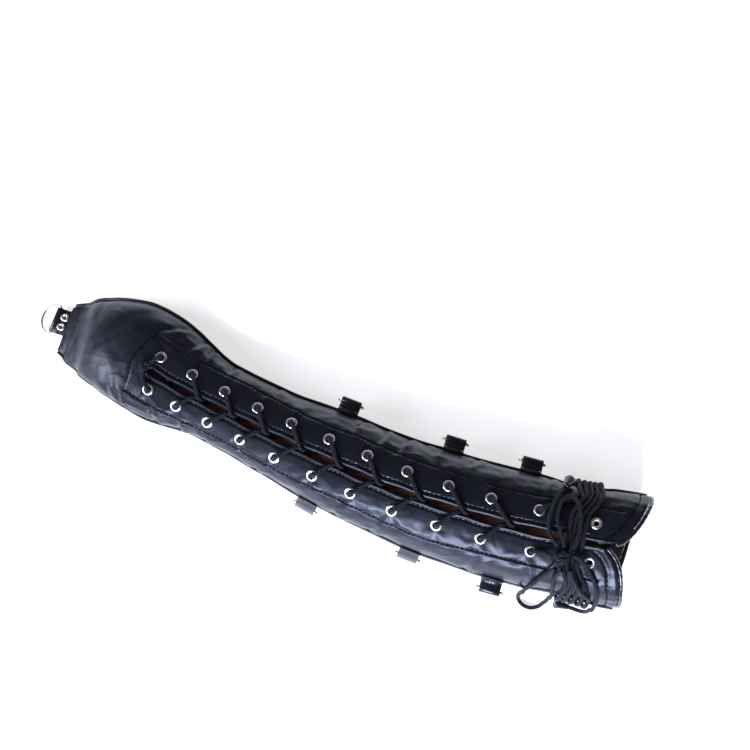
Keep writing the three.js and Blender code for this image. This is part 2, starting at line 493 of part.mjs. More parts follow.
// crossing of the slit from one row to the next; "over" passes above the other strand
function crossing(i, side, first) {
  const x0 = EYELET_X[i], L = EYELET_X[i + 1] - x0, s = side;
  let rows;
  if (first) {
    rows = side > 0
      ? [[0.28, 8.5, -7.1], [0.40, 3.0, -6.3], [0.45, 1.6, -5.1], [0.5, 0, -3.7], [0.55, -1.6, -5.1], [0.60, -3.0, -6.3], [0.72, -8.5, -7.1]]
      : [[0.28, 8.5, -7.4], [0.5, 0, -7.9], [0.72, -8.5, -7.4]];
  } else {
    rows = side > 0
      ? [[0.36, 5.0, 2.5], [0.43, 2.7, 2.3], [0.5, 0, 1.7], [0.56, -1.0, 0.2], [0.61, -1.5, -2.6], [0.655, -1.9, -5.2], [0.70, -3.6, -6.6], [0.77, -7.5, -7.2]]
      : [[0.25, 5.6, 2.5], [0.32, 2.9, 2.2], [0.38, 1.5, -0.4], [0.44, 1.1, -3.2], [0.5, 0, -4.9], [0.57, -2.6, -6.4], [0.65, -6.0, -7.2]];
  }
  return rows.map(([t, w, h]) => at(x0 + t * L, s * w, h));
}
function laceHalf(side) {
  const pts = [];
  let s = side;
  // down through the first eyelet, under both flaps to the second pair
  const first = crossing(0, s, true);
  pts.push(...eyeletIn(eyeFrame(0, s), first[0]).reverse());
  pts.push(...first);
  for (let i = 1; i <= 10; i++) {
    s = -s;
    const f = eyeFrame(i, s);
    pts.push(...eyeletIn(f, pts[pts.length - 1]));
    if (i < 10) {
      const c = crossing(i, s, false);
      pts.push(...eyeletOut(f, c[0]), ...c);
    }
  }
  return { pts, side: s };
}
const KNOT = { x: 211.5, w: -15.5, h: 9.4 };
{
  const a = laceHalf(1), b = laceHalf(-1);
  const f1 = eyeFrame(0, 1), f2 = eyeFrame(0, -1);
  const top = [at(-191.2, 6.5, 3.6), at(-193, 0, 3.9), at(-189.2, -6.5, 3.6)];
  const startOut = eyeletOut(f1, top[0]).slice(0, 3), startIn = eyeletOut(f2, top[2]).slice(0, 3).reverse();
  // ends: the far one turns to the wraps, the near one to the bow knot
  const fa = eyeFrame(10, 1), fb = eyeFrame(10, -1);
  const endA = eyeletOut(fa, at(196, 26, 0)).slice(0, 3);
  const endB = eyeletOut(fb, at(192, -14, 0)).slice(0, 3);
  endA.push(at(190.8, 22.0, 3.6), at(194.3, 24.6, 2.9));
  endB.push(at(195.5, -15.6, 3.8), at(KNOT.x - 8.4, -15.9, 8.4));
  const all = [...endA.reverse(), ...a.pts.slice().reverse(), ...startOut, ...top, ...startIn, ...b.pts, ...endB];
  let lace = toManifold(bar(all, LACE_R, 5));
  const lump = new THREE.SphereGeometry(1, 10, 7);
  lump.scale(5.6, 6.2, 3.1);
  const kf = frameAt(-193.4, 0.001);
  toFrame(lump, kf.p.clone().addScaledVector(kf.n, 4.0), kf.u, kf.v, kf.n);
  lace = lace.add(toManifold(lump));
  add('lace_criss_cross', fromManifold(lace), M.lace);
}
{
  // cuff wraps: round the whole sleeve, then up over themselves into the knot
  const pts = [at(194.9, 25.1, 2.8), at(201, 30, 2.6), at(208.5, 34.5, 2.65), at(214.5, 38.2, 2.65)];
  const P = 2 * arcTable(228)[360], step = 9.2, total = P * WRAP_TURNS - 42 - 55;
  for (let q = 0; q <= total; q += step) {
    let ww = 42 + q;
    while (ww > P / 2) ww -= P;
    const t = Math.min(1, Math.max(0, (Math.abs(ww) - 18) / 27)), side = t * t * (3 - 2 * t);
    const x = WRAP_X + WRAP_PITCH * q / P + side * (9.5 + 1.1 * q / P);     // the turns spread and run back at the sides
    const psi = psiOf(x, ww * 2 * arcTable(x)[360] / P);
    const p = onPsi(x, psi, Math.sign(ww), 2.65 + 3.6 * Math.max(0, 1 - ((psi - 90) / 17) ** 2));
    if (p.z < 2.05) p.z = 2.05;
    pts.push(p);
  }
  pts.push(at(242.5, -50, 4.6), at(237, -43.5, 6.8), at(230.5, -36.5, 7.4), at(224.5, -29.5, 7.9), at(219.8, -23.4, 8.9));
  add('lace_wraps', bar(pts, LACE_R, 6), M.lace);
}
{
  const lump = new THREE.SphereGeometry(1, 12, 8);
  lump.scale(6.4, 7.4, 4.4);
  const f = frameAt(KNOT.x, KNOT.w);
  toFrame(lump, f.p.clone().addScaledVector(f.n, KNOT.h), f.u, f.v, f.n);
  add('bow_knot', lump, M.lace);
}
// free cords: two loops and two tails, smooth routes laid on the sleeve
// x, w, h on the sleeve, or x, distance across, z and a mark where the cord has left it
const routeAt = ([x, a, b, off]) => (off ? place(section(x), a, b) : at(x, a, b));
function route(ctrl, n) {
  const c = new THREE.CatmullRomCurve3(ctrl.map(routeAt), false, 'centripetal');
  return c.getSpacedPoints(n);
}
const ROUTES = {
  bow_loop_far: [[211, -7.1, 10.4], [208.4, -1.5, 9.8], [205, 4.5, 7.4], [202, 11, 5.0], [200.6, 18, 4.6], [201.2, 25, 6.6], [205.5, 31.5, 7.4], [211.5, 33, 7.4], [216.8, 28, 7.4], [219.5, 20, 7.2], [220.8, 11, 7.4], [220.8, 3, 9.2], [219.6, -3.2, 10.6], [217.1, -6.7, 10.6]],
  bow_loop_near: [[208.1, -24.1, 9.0], [204.6, -30, 5.6], [200.4, -38, 3.2], [197, -47, 2.7], [194.2, -58, 2.7], [192.6, -66, 3.6], [192, -72.5, 6.4], [191.4, -79, 7.0], [191.2, -58, 21, 1], [192, -60, 10.5, 1], [194.5, -63.5, 4.0, 1], [199.5, -67, 2.2, 1], [206, -68, 2.2, 1], [211.6, -65, 4.4, 1], [214.2, -61, 11, 1], [215.2, -58.4, 20, 1], [215.6, -77.5, 7.2], [215.5, -71, 6.6], [215.1, -65, 4.4], [214.2, -58, 2.8], [212.2, -46, 2.8], [210.6, -37, 3.8], [211.2, -30, 6.6], [213.7, -24.7, 9.0]],
  lace_tail_far: [[206.4, -7.5, 9.6], [201.8, -4.6, 7.2], [197.6, 0.4, 4.2], [195.0, 7, 3.2], [194.0, 13, 4.2], [194.4, 18, 6.2], [195.8, 25, 6.9], [198.4, 32, 6.6], [201.4, 38, 5.2], [204, 43.5, 3.9]],
  lace_tail_near: [[219.2, -12.1, 9.6], [225.6, -13.4, 8.4], [231.6, -17.4, 6.9], [237.6, -24.5, 4.8], [243.6, -33, 2.9], [248.2, -43, 2.6], [250.4, -55, 2.6], [251.2, -66, 3.6], [251.3, -73.5, 6.6], [251.2, -79.5, 7.2], [250.6, -59.5, 22, 1], [249.2, -60.5, 13, 1], [246.2, -60.5, 7.2, 1], [242, -59.8, 5.7, 1], [238, -59.2, 5.7, 1]],
};
for (const [name, ctrl] of Object.entries(ROUTES)) add(name, bar(route(ctrl, name === 'bow_loop_near' ? 34 : name === 'lace_tail_far' ? 14 : 24), LACE_R, 7), M.lace, { route: ctrl.map((q) => routeAt(q).toArray()) });
for (const [name, key] of [['lace_tip_far', 'lace_tail_far'], ['lace_tip_near', 'lace_tail_near']]) {
  const pts = route(ROUTES[key], 24), n = pts.length;
  const d = new THREE.Vector3().subVectors(pts[n - 1], pts[n - 2]).normalize();
  const g = lathe([[0, 0], [2.4, 0], [3.0, 3.5], [4.6, 8], [5.4, 12], [4.6, 14.2], [0, 15]], 12);
  const u = new THREE.Vector3().crossVectors(d, Math.abs(d.z) < 0.9 ? UP : new THREE.Vector3(1, 0, 0)).normalize();
  const v = new THREE.Vector3().crossVectors(d, u);
  const lift = key.endsWith('far') ? frameAt(209, 52).n.multiplyScalar(2.4) : new THREE.Vector3();
  toFrame(g, pts[n - 1].clone().addScaledVector(d, 0.3).add(lift), u, v, d);
  add(name, g, M.leather);
}

// ---------------------------------------------------------------- origin: bottom centre
const CORD = ['bow_loop_far', 'bow_loop_near', 'lace_tail_far', 'lace_tail_near', 'lace_tip_far', 'lace_tip_near'];
const box = new THREE.Box3();
for (const m of group.children) {
  m.geometry.computeBoundingBox();
  if (!CORD.includes(m.name)) box.union(m.geometry.boundingBox);
}
group.position.set(-(box.min.x + box.max.x) / 2, -(box.min.y + box.max.y) / 2, -box.min.z);

export default group;
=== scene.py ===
"""Lace-up arm sleeve, closed at the hand end: leather panels, braided lace with a bow, nickel eyelets and D-rings."""

import math

import bpy
import numpy as np
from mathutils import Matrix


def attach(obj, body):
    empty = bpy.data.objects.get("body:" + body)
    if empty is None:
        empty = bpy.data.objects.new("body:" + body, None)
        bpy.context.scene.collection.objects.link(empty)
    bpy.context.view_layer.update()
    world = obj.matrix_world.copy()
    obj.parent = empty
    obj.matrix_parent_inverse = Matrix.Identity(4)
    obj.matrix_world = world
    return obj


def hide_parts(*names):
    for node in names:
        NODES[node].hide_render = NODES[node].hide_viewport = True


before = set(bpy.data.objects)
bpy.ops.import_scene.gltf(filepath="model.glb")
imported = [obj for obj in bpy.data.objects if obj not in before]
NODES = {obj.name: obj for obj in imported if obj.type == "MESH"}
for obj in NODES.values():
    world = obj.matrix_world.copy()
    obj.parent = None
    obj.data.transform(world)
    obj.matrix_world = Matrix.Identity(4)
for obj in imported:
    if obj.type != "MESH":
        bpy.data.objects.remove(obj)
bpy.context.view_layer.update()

# ------------------------------------------------------------------ the sleeve's shape, in millimetres
SHIFT = np.array([19.9083251953125, 81.9002195596695, 0.0])
# station x, middle y, half width, height, height of the underside, lean of the crown
STATIONS = np.array([
    [-298, -56.3, 20.2, 4.3, 3.2, 0.0], [-286, -54.7, 27.5, 4.3, 3.2, 0.0], [-278, -54.4, 31.0, 13.0, 1.6, 3.7],
    [-264, -53.4, 38.0, 28.0, 0.0, 6.3], [-243, -53.4, 43.8, 40.0, 0.0, 7.9], [-222, -54.6, 48.0, 46.5, 0.0, 8.7],
    [-200, -58.5, 48.7, 50.0, 0.0, 9.0], [-180, -64.1, 47.4, 51.0, 0.0, 8.7], [-157, -68.8, 42.4, 51.0, 0.0, 8.2],
    [-141, -71.8, 38.6, 51.0, 0.0, 7.8], [-127, -74.1, 36.7, 51.5, 0.0, 7.5], [-101, -78.1, 37.0, 54.0, 0.0, 7.2],
    [-62, -84.0, 38.7, 58.0, 0.0, 6.7], [-10, -89.8, 43.4, 64.0, 0.0, 6.0], [57, -95.8, 45.8, 69.5, 0.0, 5.1],
    [90, -97.0, 48.0, 71.5, 0.0, 4.2], [125, -96.6, 48.6, 73.0, 0.0, 3.3], [168, -94.4, 49.9, 74.0, 0.0, 2.6],
    [192, -92.4, 49.7, 74.5, 0.0, 2.0], [207, -91.2, 48.6, 74.2, 1.2, 1.5], [219, -90.0, 48.2, 72.0, 4.6, 1.1],
    [232, -88.7, 48.4, 71.4, 5.0, 0.9], [246, -86.9, 49.9, 73.2, 4.6, 0.7], [260, -84.8, 51.6, 78.2, 0.2, 0.6],
    [276, -82.0, 51.6, 79.0, 0.0, 0.5], [292, -79.0, 51.4, 79.0, 0.0, 0.5]], float)
SEAM, E_TOP, E_LOW = 0.45, 2 / 2.2, 2 / 2.5
X_TIP, X_CUFF, SLIT_START, SLIT_HALF = -298.0, 292.0, -190.0, 4.2
EYELET_X = [-187.7, -154.4, -120.4, -86.1, -51.5, -13.8, 23.7, 62.4, 102.2, 141.6, 185.5, 236]
EYELET_W = [15.6, 16.3, 16.3, 16.6, 17.6, 18.2, 18.6, 18.8, 18.2, 18.2, 18.4, 17.4]
NEAR_DX = {0: 7.4, 1: 2.5}
LACE_R = 1.9
SIDE_TABS = [("far_1", -11.5, 1, 0), ("far_2", 97.5, 1, 0), ("far_3", 175, 1, 0), ("near_1", -10, -1, 1), ("near_2", 89, -1, 1), ("near_3", 164, -1, 0)]
DROOP_EYE = (6.2, -6.5)
WRAP_X, WRAP_PITCH, WRAP_TURNS = 209.5, 4.4, 5
CUFF_EDGE = {1: np.array([[0, 236], [1.5, 243], [2.4, 251], [6.4, 259], [14.4, 266.7], [24, 272.8], [38, 281], [51.4, 288.5]]),
        -1: np.array([[0, 237], [1.5, 243.7], [6.1, 250.2], [12.4, 256], [20, 260.2], [31.5, 263.4], [40, 265.2], [51.4, 269]])}


def _pchip(col):
    xs, ys = STATIONS[:, 0], STATIONS[:, col]
    h, d = np.diff(xs), np.diff(ys) / np.diff(xs)
    m = np.zeros(len(xs))
    for i in range(1, len(xs) - 1):
        if d[i - 1] * d[i] > 0:
            w1, w2 = 2 * h[i] + h[i - 1], h[i] + 2 * h[i - 1]
            m[i] = (w1 + w2) / (w1 / d[i - 1] + w2 / d[i])
    m[0], m[-1] = d[0], d[-1]

    def f(x):
        q = np.clip(x, xs[0], xs[-1])
        i = np.clip(np.searchsorted(xs, q, side="left") - 1, 0, len(xs) - 2)
        t = (q - xs[i]) / h[i]
        return ((2 * t**3 - 3 * t**2 + 1) * ys[i] + (t**3 - 2 * t**2 + t) * h[i] * m[i]
                + (-2 * t**3 + 3 * t**2) * ys[i + 1] + (t**3 - t**2) * h[i] * m[i + 1])
    return f


fY, fA, fH, fZ, fLean = (_pchip(k) for k in (1, 2, 3, 4, 5))


def head(x):
    return np.arctan((fY(x + 2) - fY(x - 2)) / (np.minimum(x + 2, 292) - np.maximum(x - 2, -298)))


def nz(x, psi, h):
    """Half-section point (out, up) at station x; psi 0 on top, 90 at the seam, 180 below."""
    x, psi, h = np.broadcast_arrays(np.asarray(x, float), psi, h)
    a, H, z0 = fA(x), fH(x), fZ(x)
    zs, up, low = z0 + SEAM * H, H * (1 - SEAM), H * SEAM + 2.5
    p = np.radians(psi)
    c, v = np.abs(np.sin(p)), np.cos(p)
    top = v >= 0
    n = np.where(top, (a + h) * c**E_TOP, (a + h) * c**E_LOW)
    zt = zs + np.maximum(np.where(psi < 90, 0.17, 0.0), (up + h) * np.abs(v) ** E_TOP)
    zl = np.minimum(zs - 0.17, np.maximum(z0 - h, zs - (low + h) * np.abs(v) ** E_LOW))
    return n, np.where(top, zt, zl)


def on_psi(x, psi, side, h):
    """Points in the row frame, in millimetres."""
    n, z = nz(x, psi, h)
    x = np.broadcast_to(np.asarray(x, float), n.shape)
    H = fH(x)
    n = side * n - fLean(x) * np.maximum(0, (z - fZ(x) - SEAM * H) / (H * (1 - SEAM)))
    a = head(x)
    return np.stack([x - n * np.sin(a), fY(x) + n * np.cos(a), z], -1) + SHIFT


_PS = np.arange(361) / 2.0


def arc_tables(x):
    x = np.atleast_1d(np.asarray(x, float))
    n, z = nz(x[:, None], _PS[None], 0.0)
    d = np.hypot(np.diff(n, axis=1), np.diff(z, axis=1))
    return np.concatenate([np.zeros((len(x), 1)), np.cumsum(d, 1)], 1)


def psi_of(x, w):
    x, w = np.broadcast_arrays(np.asarray(x, float), np.asarray(w, float))
    shape = x.shape
    x, w = x.ravel(), np.abs(w.ravel())
    out = np.empty(len(x))
    for a in range(0, len(x), 20000):
        t = arc_tables(x[a:a + 20000])
        ww = w[a:a + 20000]
        i = np.minimum((t[:, 1:] < ww[:, None]).sum(1), 359)
        r = np.arange(len(ww))
        out[a:a + 20000] = (i + (ww - t[r, i]) / (t[r, i + 1] - t[r, i])) / 2
    return out.reshape(shape)


def at(x, w, h):
    """x along the sleeve, w round it from the top centre, h above the leather."""
    x, w, h = np.broadcast_arrays(np.asarray(x, float), np.asarray(w, float), np.asarray(h, float))
    return on_psi(x, psi_of(x, w), np.where(w < 0, -1.0, 1.0), h)


def frame_at(x, w):
    p = at(x, w, 0)
    du = at(x + 1, w, 0) - at(x - 1, w, 0)
    du /= np.linalg.norm(du)
    dw = at(x, w + 1, 0) - at(x, w - 1, 0)
    dw /= np.linalg.norm(dw)
    n = np.cross(du, dw)
    n /= np.linalg.norm(n)
    return p, du, np.cross(n, du), n


def edge_x(side, n):
    """Where the cuff edge lies on the top panel, by distance across from the slit line."""
    t = CUFF_EDGE[1 if side > 0 else -1]
    return np.interp(np.clip(n, 0, 51.4), t[:, 0], t[:, 1])


def under_x(n):
    return (288.5 + 269) / 2 + n * (288.5 - 269) / 102.8


def across(x, n, z):
    """A point in the section plane of station x: distance across, height."""
    x = float(x)
    H, a = float(fH(x)), float(head(x))
    n = n - float(fLean(x)) * max(0, (z - float(fZ(x)) - SEAM * H) / (H * (1 - SEAM)))
    return np.array([x - n * math.sin(a), float(fY(x)) + n * math.cos(a), z]) + SHIFT


def route_at(q):
    return across(*q[:3]) if len(q) > 3 else at(*q)


def unit(v):
    return v / np.linalg.norm(v)


def catmull(ctrl, step):
    """Smooth centripetal curve through the points, resampled about every step."""
    p = np.array(ctrl, float)
    p = np.vstack([2 * p[0] - p[1], p, 2 * p[-1] - p[-2]])
    out = []
    for i in range(1, len(p) - 2):
        p0, p1, p2, p3 = p[i - 1:i + 3]
        d0, d1, d2 = (max(1e-4, np.linalg.norm(b - a) ** 0.5) for a, b in ((p0, p1), (p1, p2), (p2, p3)))
        t1 = ((p1 - p0) / d0 - (p2 - p0) / (d0 + d1) + (p2 - p1) / d1) * d1
        t2 = ((p2 - p1) / d1 - (p3 - p1) / (d1 + d2) + (p3 - p2) / d2) * d1
        t = np.linspace(0, 1, 24, endpoint=False)[:, None]
        out.append(p1 + t1 * t + (-3 * p1 + 3 * p2 - 2 * t1 - t2) * t**2 + (2 * p1 - 2 * p2 + t1 + t2) * t**3)
    out = np.vstack(out + [p[-2][None]])
    return resample(out, step)


def resample(pts, step):
    d = np.r_[0, np.cumsum(np.linalg.norm(np.diff(pts, axis=0), axis=1))]
    n = max(2, int(round(d[-1] / step)) + 1)
    s = np.linspace(0, d[-1], n)
    return np.stack([np.interp(s, d, pts[:, k]) for k in range(3)], -1)


# ------------------------------------------------------------------ meshes
def make(name, verts_mm, faces, mats=(), uvs=None, smooth=True):
    me = bpy.data.meshes.new(name)
    me.from_pydata((np.asarray(verts_mm, float) / 1000).tolist(), [], [list(map(int, f)) for f in faces])
    if uvs is not None:
        layer = me.uv_layers.new(name="UVMap")
        flat = np.asarray(uvs, float)
        layer.data.foreach_set("uv", flat.ravel())
    if smooth:
        me.polygons.foreach_set("use_smooth", [True] * len(me.polygons))
    me.update()
    o = bpy.data.objects.new(name, me)
    bpy.context.scene.collection.objects.link(o)
    for m in mats:
        me.materials.append(m)
    return o


def tube_data(pts, r, sides=12, closed=False, caps=True, radii=None):
    """Vertices, quads and per-corner (along, round) coordinates of a round tube."""
    n = len(pts)
    if closed:
        t = np.roll(pts, -1, 0) - np.roll(pts, 1, 0)
    else:
        t = np.gradient(pts, axis=0)
    t /= np.linalg.norm(t, axis=1)[:, None]
    nrm = np.array([0, 0, 1.0]) if abs(t[0, 2]) < 0.8 else np.array([1.0, 0, 0])
    N = np.empty_like(pts)
    for i in range(n):
        nrm = nrm - t[i] * (nrm @ t[i])
        nrm /= np.linalg.norm(nrm)
        N[i] = nrm
    B = np.cross(t, N)
    if closed:  # spread the twist left at the join
        e = N[-1] - t[0] * (N[-1] @ t[0])
        tw = math.atan2(e @ B[0], e @ N[0])
        a = -tw * np.arange(n) / n
        N, B = N * np.cos(a)[:, None] + B * np.sin(a)[:, None], -N * np.sin(a)[:, None] + B * np.cos(a)[:, None]
    q = 2 * np.pi * np.arange(sides) / sides
    rr = np.full(n, r) if radii is None else radii
    V = pts[:, None] + (N[:, None] * np.cos(q)[None, :, None] + B[:, None] * np.sin(q)[None, :, None]) * rr[:, None, None]
    s = np.r_[0, np.cumsum(np.linalg.norm(np.diff(pts, axis=0), axis=1))]
    m = n if closed else n - 1
    i, k = np.meshgrid(np.arange(m), np.arange(sides), indexing="ij")
    i2, k2 = (i + 1) % n, (k + 1) % sides
    F = np.stack([i * sides + k, i * sides + k2, i2 * sides + k2, i2 * sides + k], -1).reshape(-1, 4)
    s2 = np.r_[s, s[-1] + np.linalg.norm(pts[0] - pts[-1])]
    U = np.stack([np.stack([s2[i], k / sides], -1), np.stack([s2[i], (k + 1) / sides], -1),
                  np.stack([s2[i + 1], (k + 1) / sides], -1), np.stack([s2[i + 1], k / sides], -1)], -2).reshape(-1, 2)
    V = V.reshape(-1, 3)
    faces = F.tolist()
    if not closed and caps:
        faces.append(list(range(sides))[::-1])
        faces.append([(n - 1) * sides + j for j in range(sides)])
        U = np.vstack([U, np.zeros((sides, 2)), np.full((sides, 2), s[-1])])
    return V, faces, U


def join_data(parts):
    V, F, U, o = [], [], [], 0
    for v, f, u in parts:
        V.append(v)
        F += [[i + o for i in q] for q in f]
        U.append(u)
        o += len(v)
    return np.vstack(V), F, np.vstack(U)


def lathe_data(profile, segs):
    """Closed or open profile of (r, z) turned round Z."""
    p = np.array(profile, float)
    q = 2 * np.pi * np.arange(segs) / segs
    V = np.stack([p[:, 0, None] * np.cos(q), p[:, 0, None] * np.sin(q), np.repeat(p[:, 1, None], segs, 1)], -1)
    n = len(p)
    F = []
    for i in range(n - 1):
        for k in range(segs):
            k2 = (k + 1) % segs
            F.append([i * segs + k, i * segs + k2, (i + 1) * segs + k2, (i + 1) * segs + k])
    return V.reshape(-1, 3), F


def placed(V, o, x, y, z):
    return o + V[:, :1] * x + V[:, 1:2] * y + V[:, 2:] * z


def bevel(o, width_mm, segs=2, angle=35):
    m = o.modifiers.new("round", "BEVEL")
    m.width, m.segments, m.limit_method, m.angle_limit = width_mm / 1000, segs, "ANGLE", math.radians(angle)
    return m


def smooth_noise(p, seed):
    """Gradient noise at (n, 3) points, about -1 to 1."""
    rng = np.random.default_rng(seed)
    perm = rng.permutation(256)
    perm = np.r_[perm, perm, perm]
    g = rng.normal(size=(256, 3))
    g /= np.linalg.norm(g, axis=1)[:, None]
    i = np.floor(p).astype(int)
    f = p - i
    i &= 255
    u = f * f * f * (f * (f * 6 - 15) + 10)
    out = 0
    for dx in (0, 1):
        for dy in (0, 1):
            for dz in (0, 1):
                h = perm[perm[perm[i[:, 0] + dx] + i[:, 1] + dy] + i[:, 2] + dz]
                dot = (g[h] * (f - [dx, dy, dz])).sum(1)
                out = out + dot * np.where(dx, u[:, 0], 1 - u[:, 0]) * np.where(dy, u[:, 1], 1 - u[:, 1]) * np.where(dz, u[:, 2], 1 - u[:, 2])
    return out * 1.6


# ------------------------------------------------------------------ materials
def _mat(name):
    m = bpy.data.materials.new(name)
    m.use_nodes = True
    return m, m.node_tree.nodes, m.node_tree.links, m.node_tree.nodes["Principled BSDF"]


def _noise(N, L, vec, scale, detail=3.0, rough=0.5):
    n = N.new("ShaderNodeTexNoise")
    n.inputs["Scale"].default_value, n.inputs["Detail"].default_value, n.inputs["Roughness"].default_value = scale, detail, rough
    L.new(vec, n.inputs["Vector"])
    return n.outputs["Fac"]


def _range(N, L, src, a, b, lo, hi):
    n = N.new("ShaderNodeMapRange")
    for k, v in zip(("From Min", "From Max", "To Min", "To Max"), (a, b, lo, hi)):
        n.inputs[k].default_value = v
    L.new(src, n.inputs["Value"])
    return n.outputs["Result"]


def _mixcol(N, L, fac, a, b):
    n = N.new("ShaderNodeMix")
    n.data_type = "RGBA"
    n.inputs["A"].default_value, n.inputs["B"].default_value = (*a, 1), (*b, 1)
    L.new(fac, n.inputs["Factor"])
    return n.outputs["Result"]


def _bump(N, L, height, strength, dist, normal=None):
    n = N.new("ShaderNodeBump")
    n.inputs["Strength"].default_value, n.inputs["Distance"].default_value = strength, dist
    L.new(height, n.inputs["Height"])
    if normal is not None:
        L.new(normal, n.inputs["Normal"])
    return n.outputs["Normal"]


def leather(name, dark, light, rough, coat, grain=1.0, crease=1.0, spec=0.5):
    m, N, L, P = _mat(name)
    tc = N.new("ShaderNodeTexCoord").outputs["Object"]
    at_ = N.new("ShaderNodeAttribute")
    at_.attribute_name = "painted_groove_shade"
    base = _mixcol(N, L, _noise(N, L, tc, 14, 4), dark, light)
    # painted shade: a per-point attribute marking the stitch grooves darkens the base colour towards near black
    mul = N.new("ShaderNodeMix")
    mul.data_type = "RGBA"
    mul.inputs["B"].default_value = (0.0012, 0.0012, 0.0016, 1)
    L.new(base, mul.inputs["A"])
    L.new(at_.outputs["Fac"], mul.inputs["Factor"])
    L.new(mul.outputs["Result"], P.inputs["Base Color"])
    P.inputs["Specular IOR Level"].default_value = spec
    L.new(_range(N, L, _noise(N, L, tc, 45, 5, 0.6), 0.3, 0.7, rough - 0.07, rough + 0.09), P.inputs["Roughness"])
    P.inputs["Coat Weight"].default_value, P.inputs["Coat Roughness"].default_value = coat, 0.22
    P.inputs["Specular Tint"].default_value = (0.80, 0.84, 1.0, 1)
    P.inputs["Sheen Weight"].default_value, P.inputs["Sheen Roughness"].default_value = 0.05, 0.4
    P.inputs["Sheen Tint"].default_value = (0.55, 0.58, 1.0, 1)
    # fine creases, then the pebbled grain
    w = N.new("ShaderNodeTexNoise")
    w.inputs["Scale"].default_value, w.inputs["Detail"].default_value, w.inputs["Distortion"].default_value = 75, 5, 1.2
    L.new(tc, w.inputs["Vector"])
    b = _bump(N, L, w.outputs["Fac"], 0.16 * crease, 0.0016)
    v = N.new("ShaderNodeTexVoronoi")
    v.feature = "DISTANCE_TO_EDGE"
    v.inputs["Scale"].default_value = 1050
    L.new(tc, v.inputs["Vector"])
    b = _bump(N, L, _range(N, L, v.outputs["Distance"], 0, 0.28, 0, 1), 0.28 * grain, 0.00008, b)
    L.new(b, P.inputs["Normal"])
    return m


def plain(name, col, rough, metal=0.0, bump=None, **inputs):
    m, N, L, P = _mat(name)
    P.inputs["Base Color"].default_value = (*col, 1)
    P.inputs["Roughness"].default_value, P.inputs["Metallic"].default_value = rough, metal
    for k, v in inputs.items():
        P.inputs[k].default_value = v
    if bump:
        tc = N.new("ShaderNodeTexCoord").outputs["Object"]
        L.new(_bump(N, L, _noise(N, L, tc, bump[0], 4), bump[1], bump[2]), P.inputs["Normal"])
    return m


def braid(name, a, b):
    """Round braided cord: the uv runs along it in millimetres and once round it."""
    m, N, L, P = _mat(name)
    uv = N.new("ShaderNodeTexCoord").outputs["UV"]
    s = N.new("ShaderNodeSeparateXYZ")
    L.new(uv, s.inputs[0])

    def op(kind, x, y=None):
        n = N.new("ShaderNodeMath")
        n.operation = kind
        for i, q in enumerate((x, y)):
            if q is None:
                continue
            if isinstance(q, (int, float)):
                n.inputs[i].default_value = q
            else:
                L.new(q, n.inputs[i])
        return n.outputs[0]
    u, v = op("MULTIPLY", s.outputs[0], 2 * math.pi / 5.6), op("MULTIPLY", s.outputs[1], 2 * math.pi * 2)
    p = op("ABSOLUTE", op("SINE", op("ADD", u, v)))
    q = op("ABSOLUTE", op("SINE", op("SUBTRACT", u, v)))
    h = op("MULTIPLY", op("POWER", p, 0.7), op("POWER", q, 0.7))
    f = op("MULTIPLY", op("ADD", op("SINE", op("MULTIPLY", op("ADD", u, v), 7.0)), 1.0), 0.06)
    # painted highlight and shade: the crests of the weave get the lighter colour and the hollows the near-black one, by
    # the same pattern as the bump
    L.new(_mixcol(N, L, op("POWER", h, 2.2), a, b), P.inputs["Base Color"])
    P.inputs["Roughness"].default_value = 0.5
    P.inputs["Specular Tint"].default_value = (0.85, 0.88, 1.0, 1)
    P.inputs["Specular IOR Level"].default_value = 0.16
    L.new(_bump(N, L, op("ADD", h, f), 1.0, 0.0010), P.inputs["Normal"])
    return m


BLACK = leather("leather_black", (0.0030, 0.0030, 0.0050), (0.0078, 0.0078, 0.0120), 0.36, 0.09, 1.0, 1.3, 0.37)
STRAP = leather("leather_strap", (0.0034, 0.0034, 0.005), (0.008, 0.008, 0.011), 0.27, 0.4, 0.8, 0.8)
GLOSS = leather("leather_binding", (0.005, 0.005, 0.007), (0.009, 0.009, 0.012), 0.22, 0.6, 0.3, 0.8)
PIPING = leather("leather_piping", (0.008, 0.007, 0.0075), (0.022, 0.015, 0.013), 0.42, 0.1, 0.6, 0.5)
EDGE = plain("leather_edge", (0.030, 0.018, 0.014), 0.75, bump=(900, 0.4, 0.0003))
INNER = plain("leather_back", (0.045, 0.020, 0.016), 0.9, bump=(700, 0.5, 0.0004))
SUEDE = plain("suede_lining", (0.26, 0.095, 0.062), 0.95, bump=(1500, 0.6, 0.0004), **{"Sheen Weight": 0.5, "Sheen Tint": (0.9, 0.5, 0.4, 1)})
NICKEL = plain("nickel", (0.86, 0.80, 0.70), 0.30, 1.0, bump=(60, 0.04, 0.0004))
NICKEL_IN = plain("nickel_dull", (0.62, 0.58, 0.52), 0.34, 1.0)
# the lace's second colour is the painted highlight on the crests of the weave
LACE = braid("lace_braid", (0.0004, 0.0004, 0.0006), (0.042, 0.042, 0.052))
THREAD = plain("thread", (0.0015, 0.0015, 0.002), 0.6, **{"Specular IOR Level": 0.15})

# ------------------------------------------------------------------ camera
AIM = (SHIFT + [3.66981, 2.09315, 0.0]) / 1000
AZ, EL, DIST = math.radians(19.1), math.radians(80.0), 1.0099
BACK = np.array([math.sin(AZ) * math.cos(EL), -math.cos(AZ) * math.cos(EL), math.sin(EL)])
cam = bpy.data.cameras.new("camera")
cam.lens, cam.sensor_width = 50, 36
camera = bpy.data.objects.new("camera", cam)
bpy.context.scene.collection.objects.link(camera)
right = np.array([math.cos(AZ), math.sin(AZ), 0.0])
upv = np.cross(right, -BACK)
from mathutils import Matrix

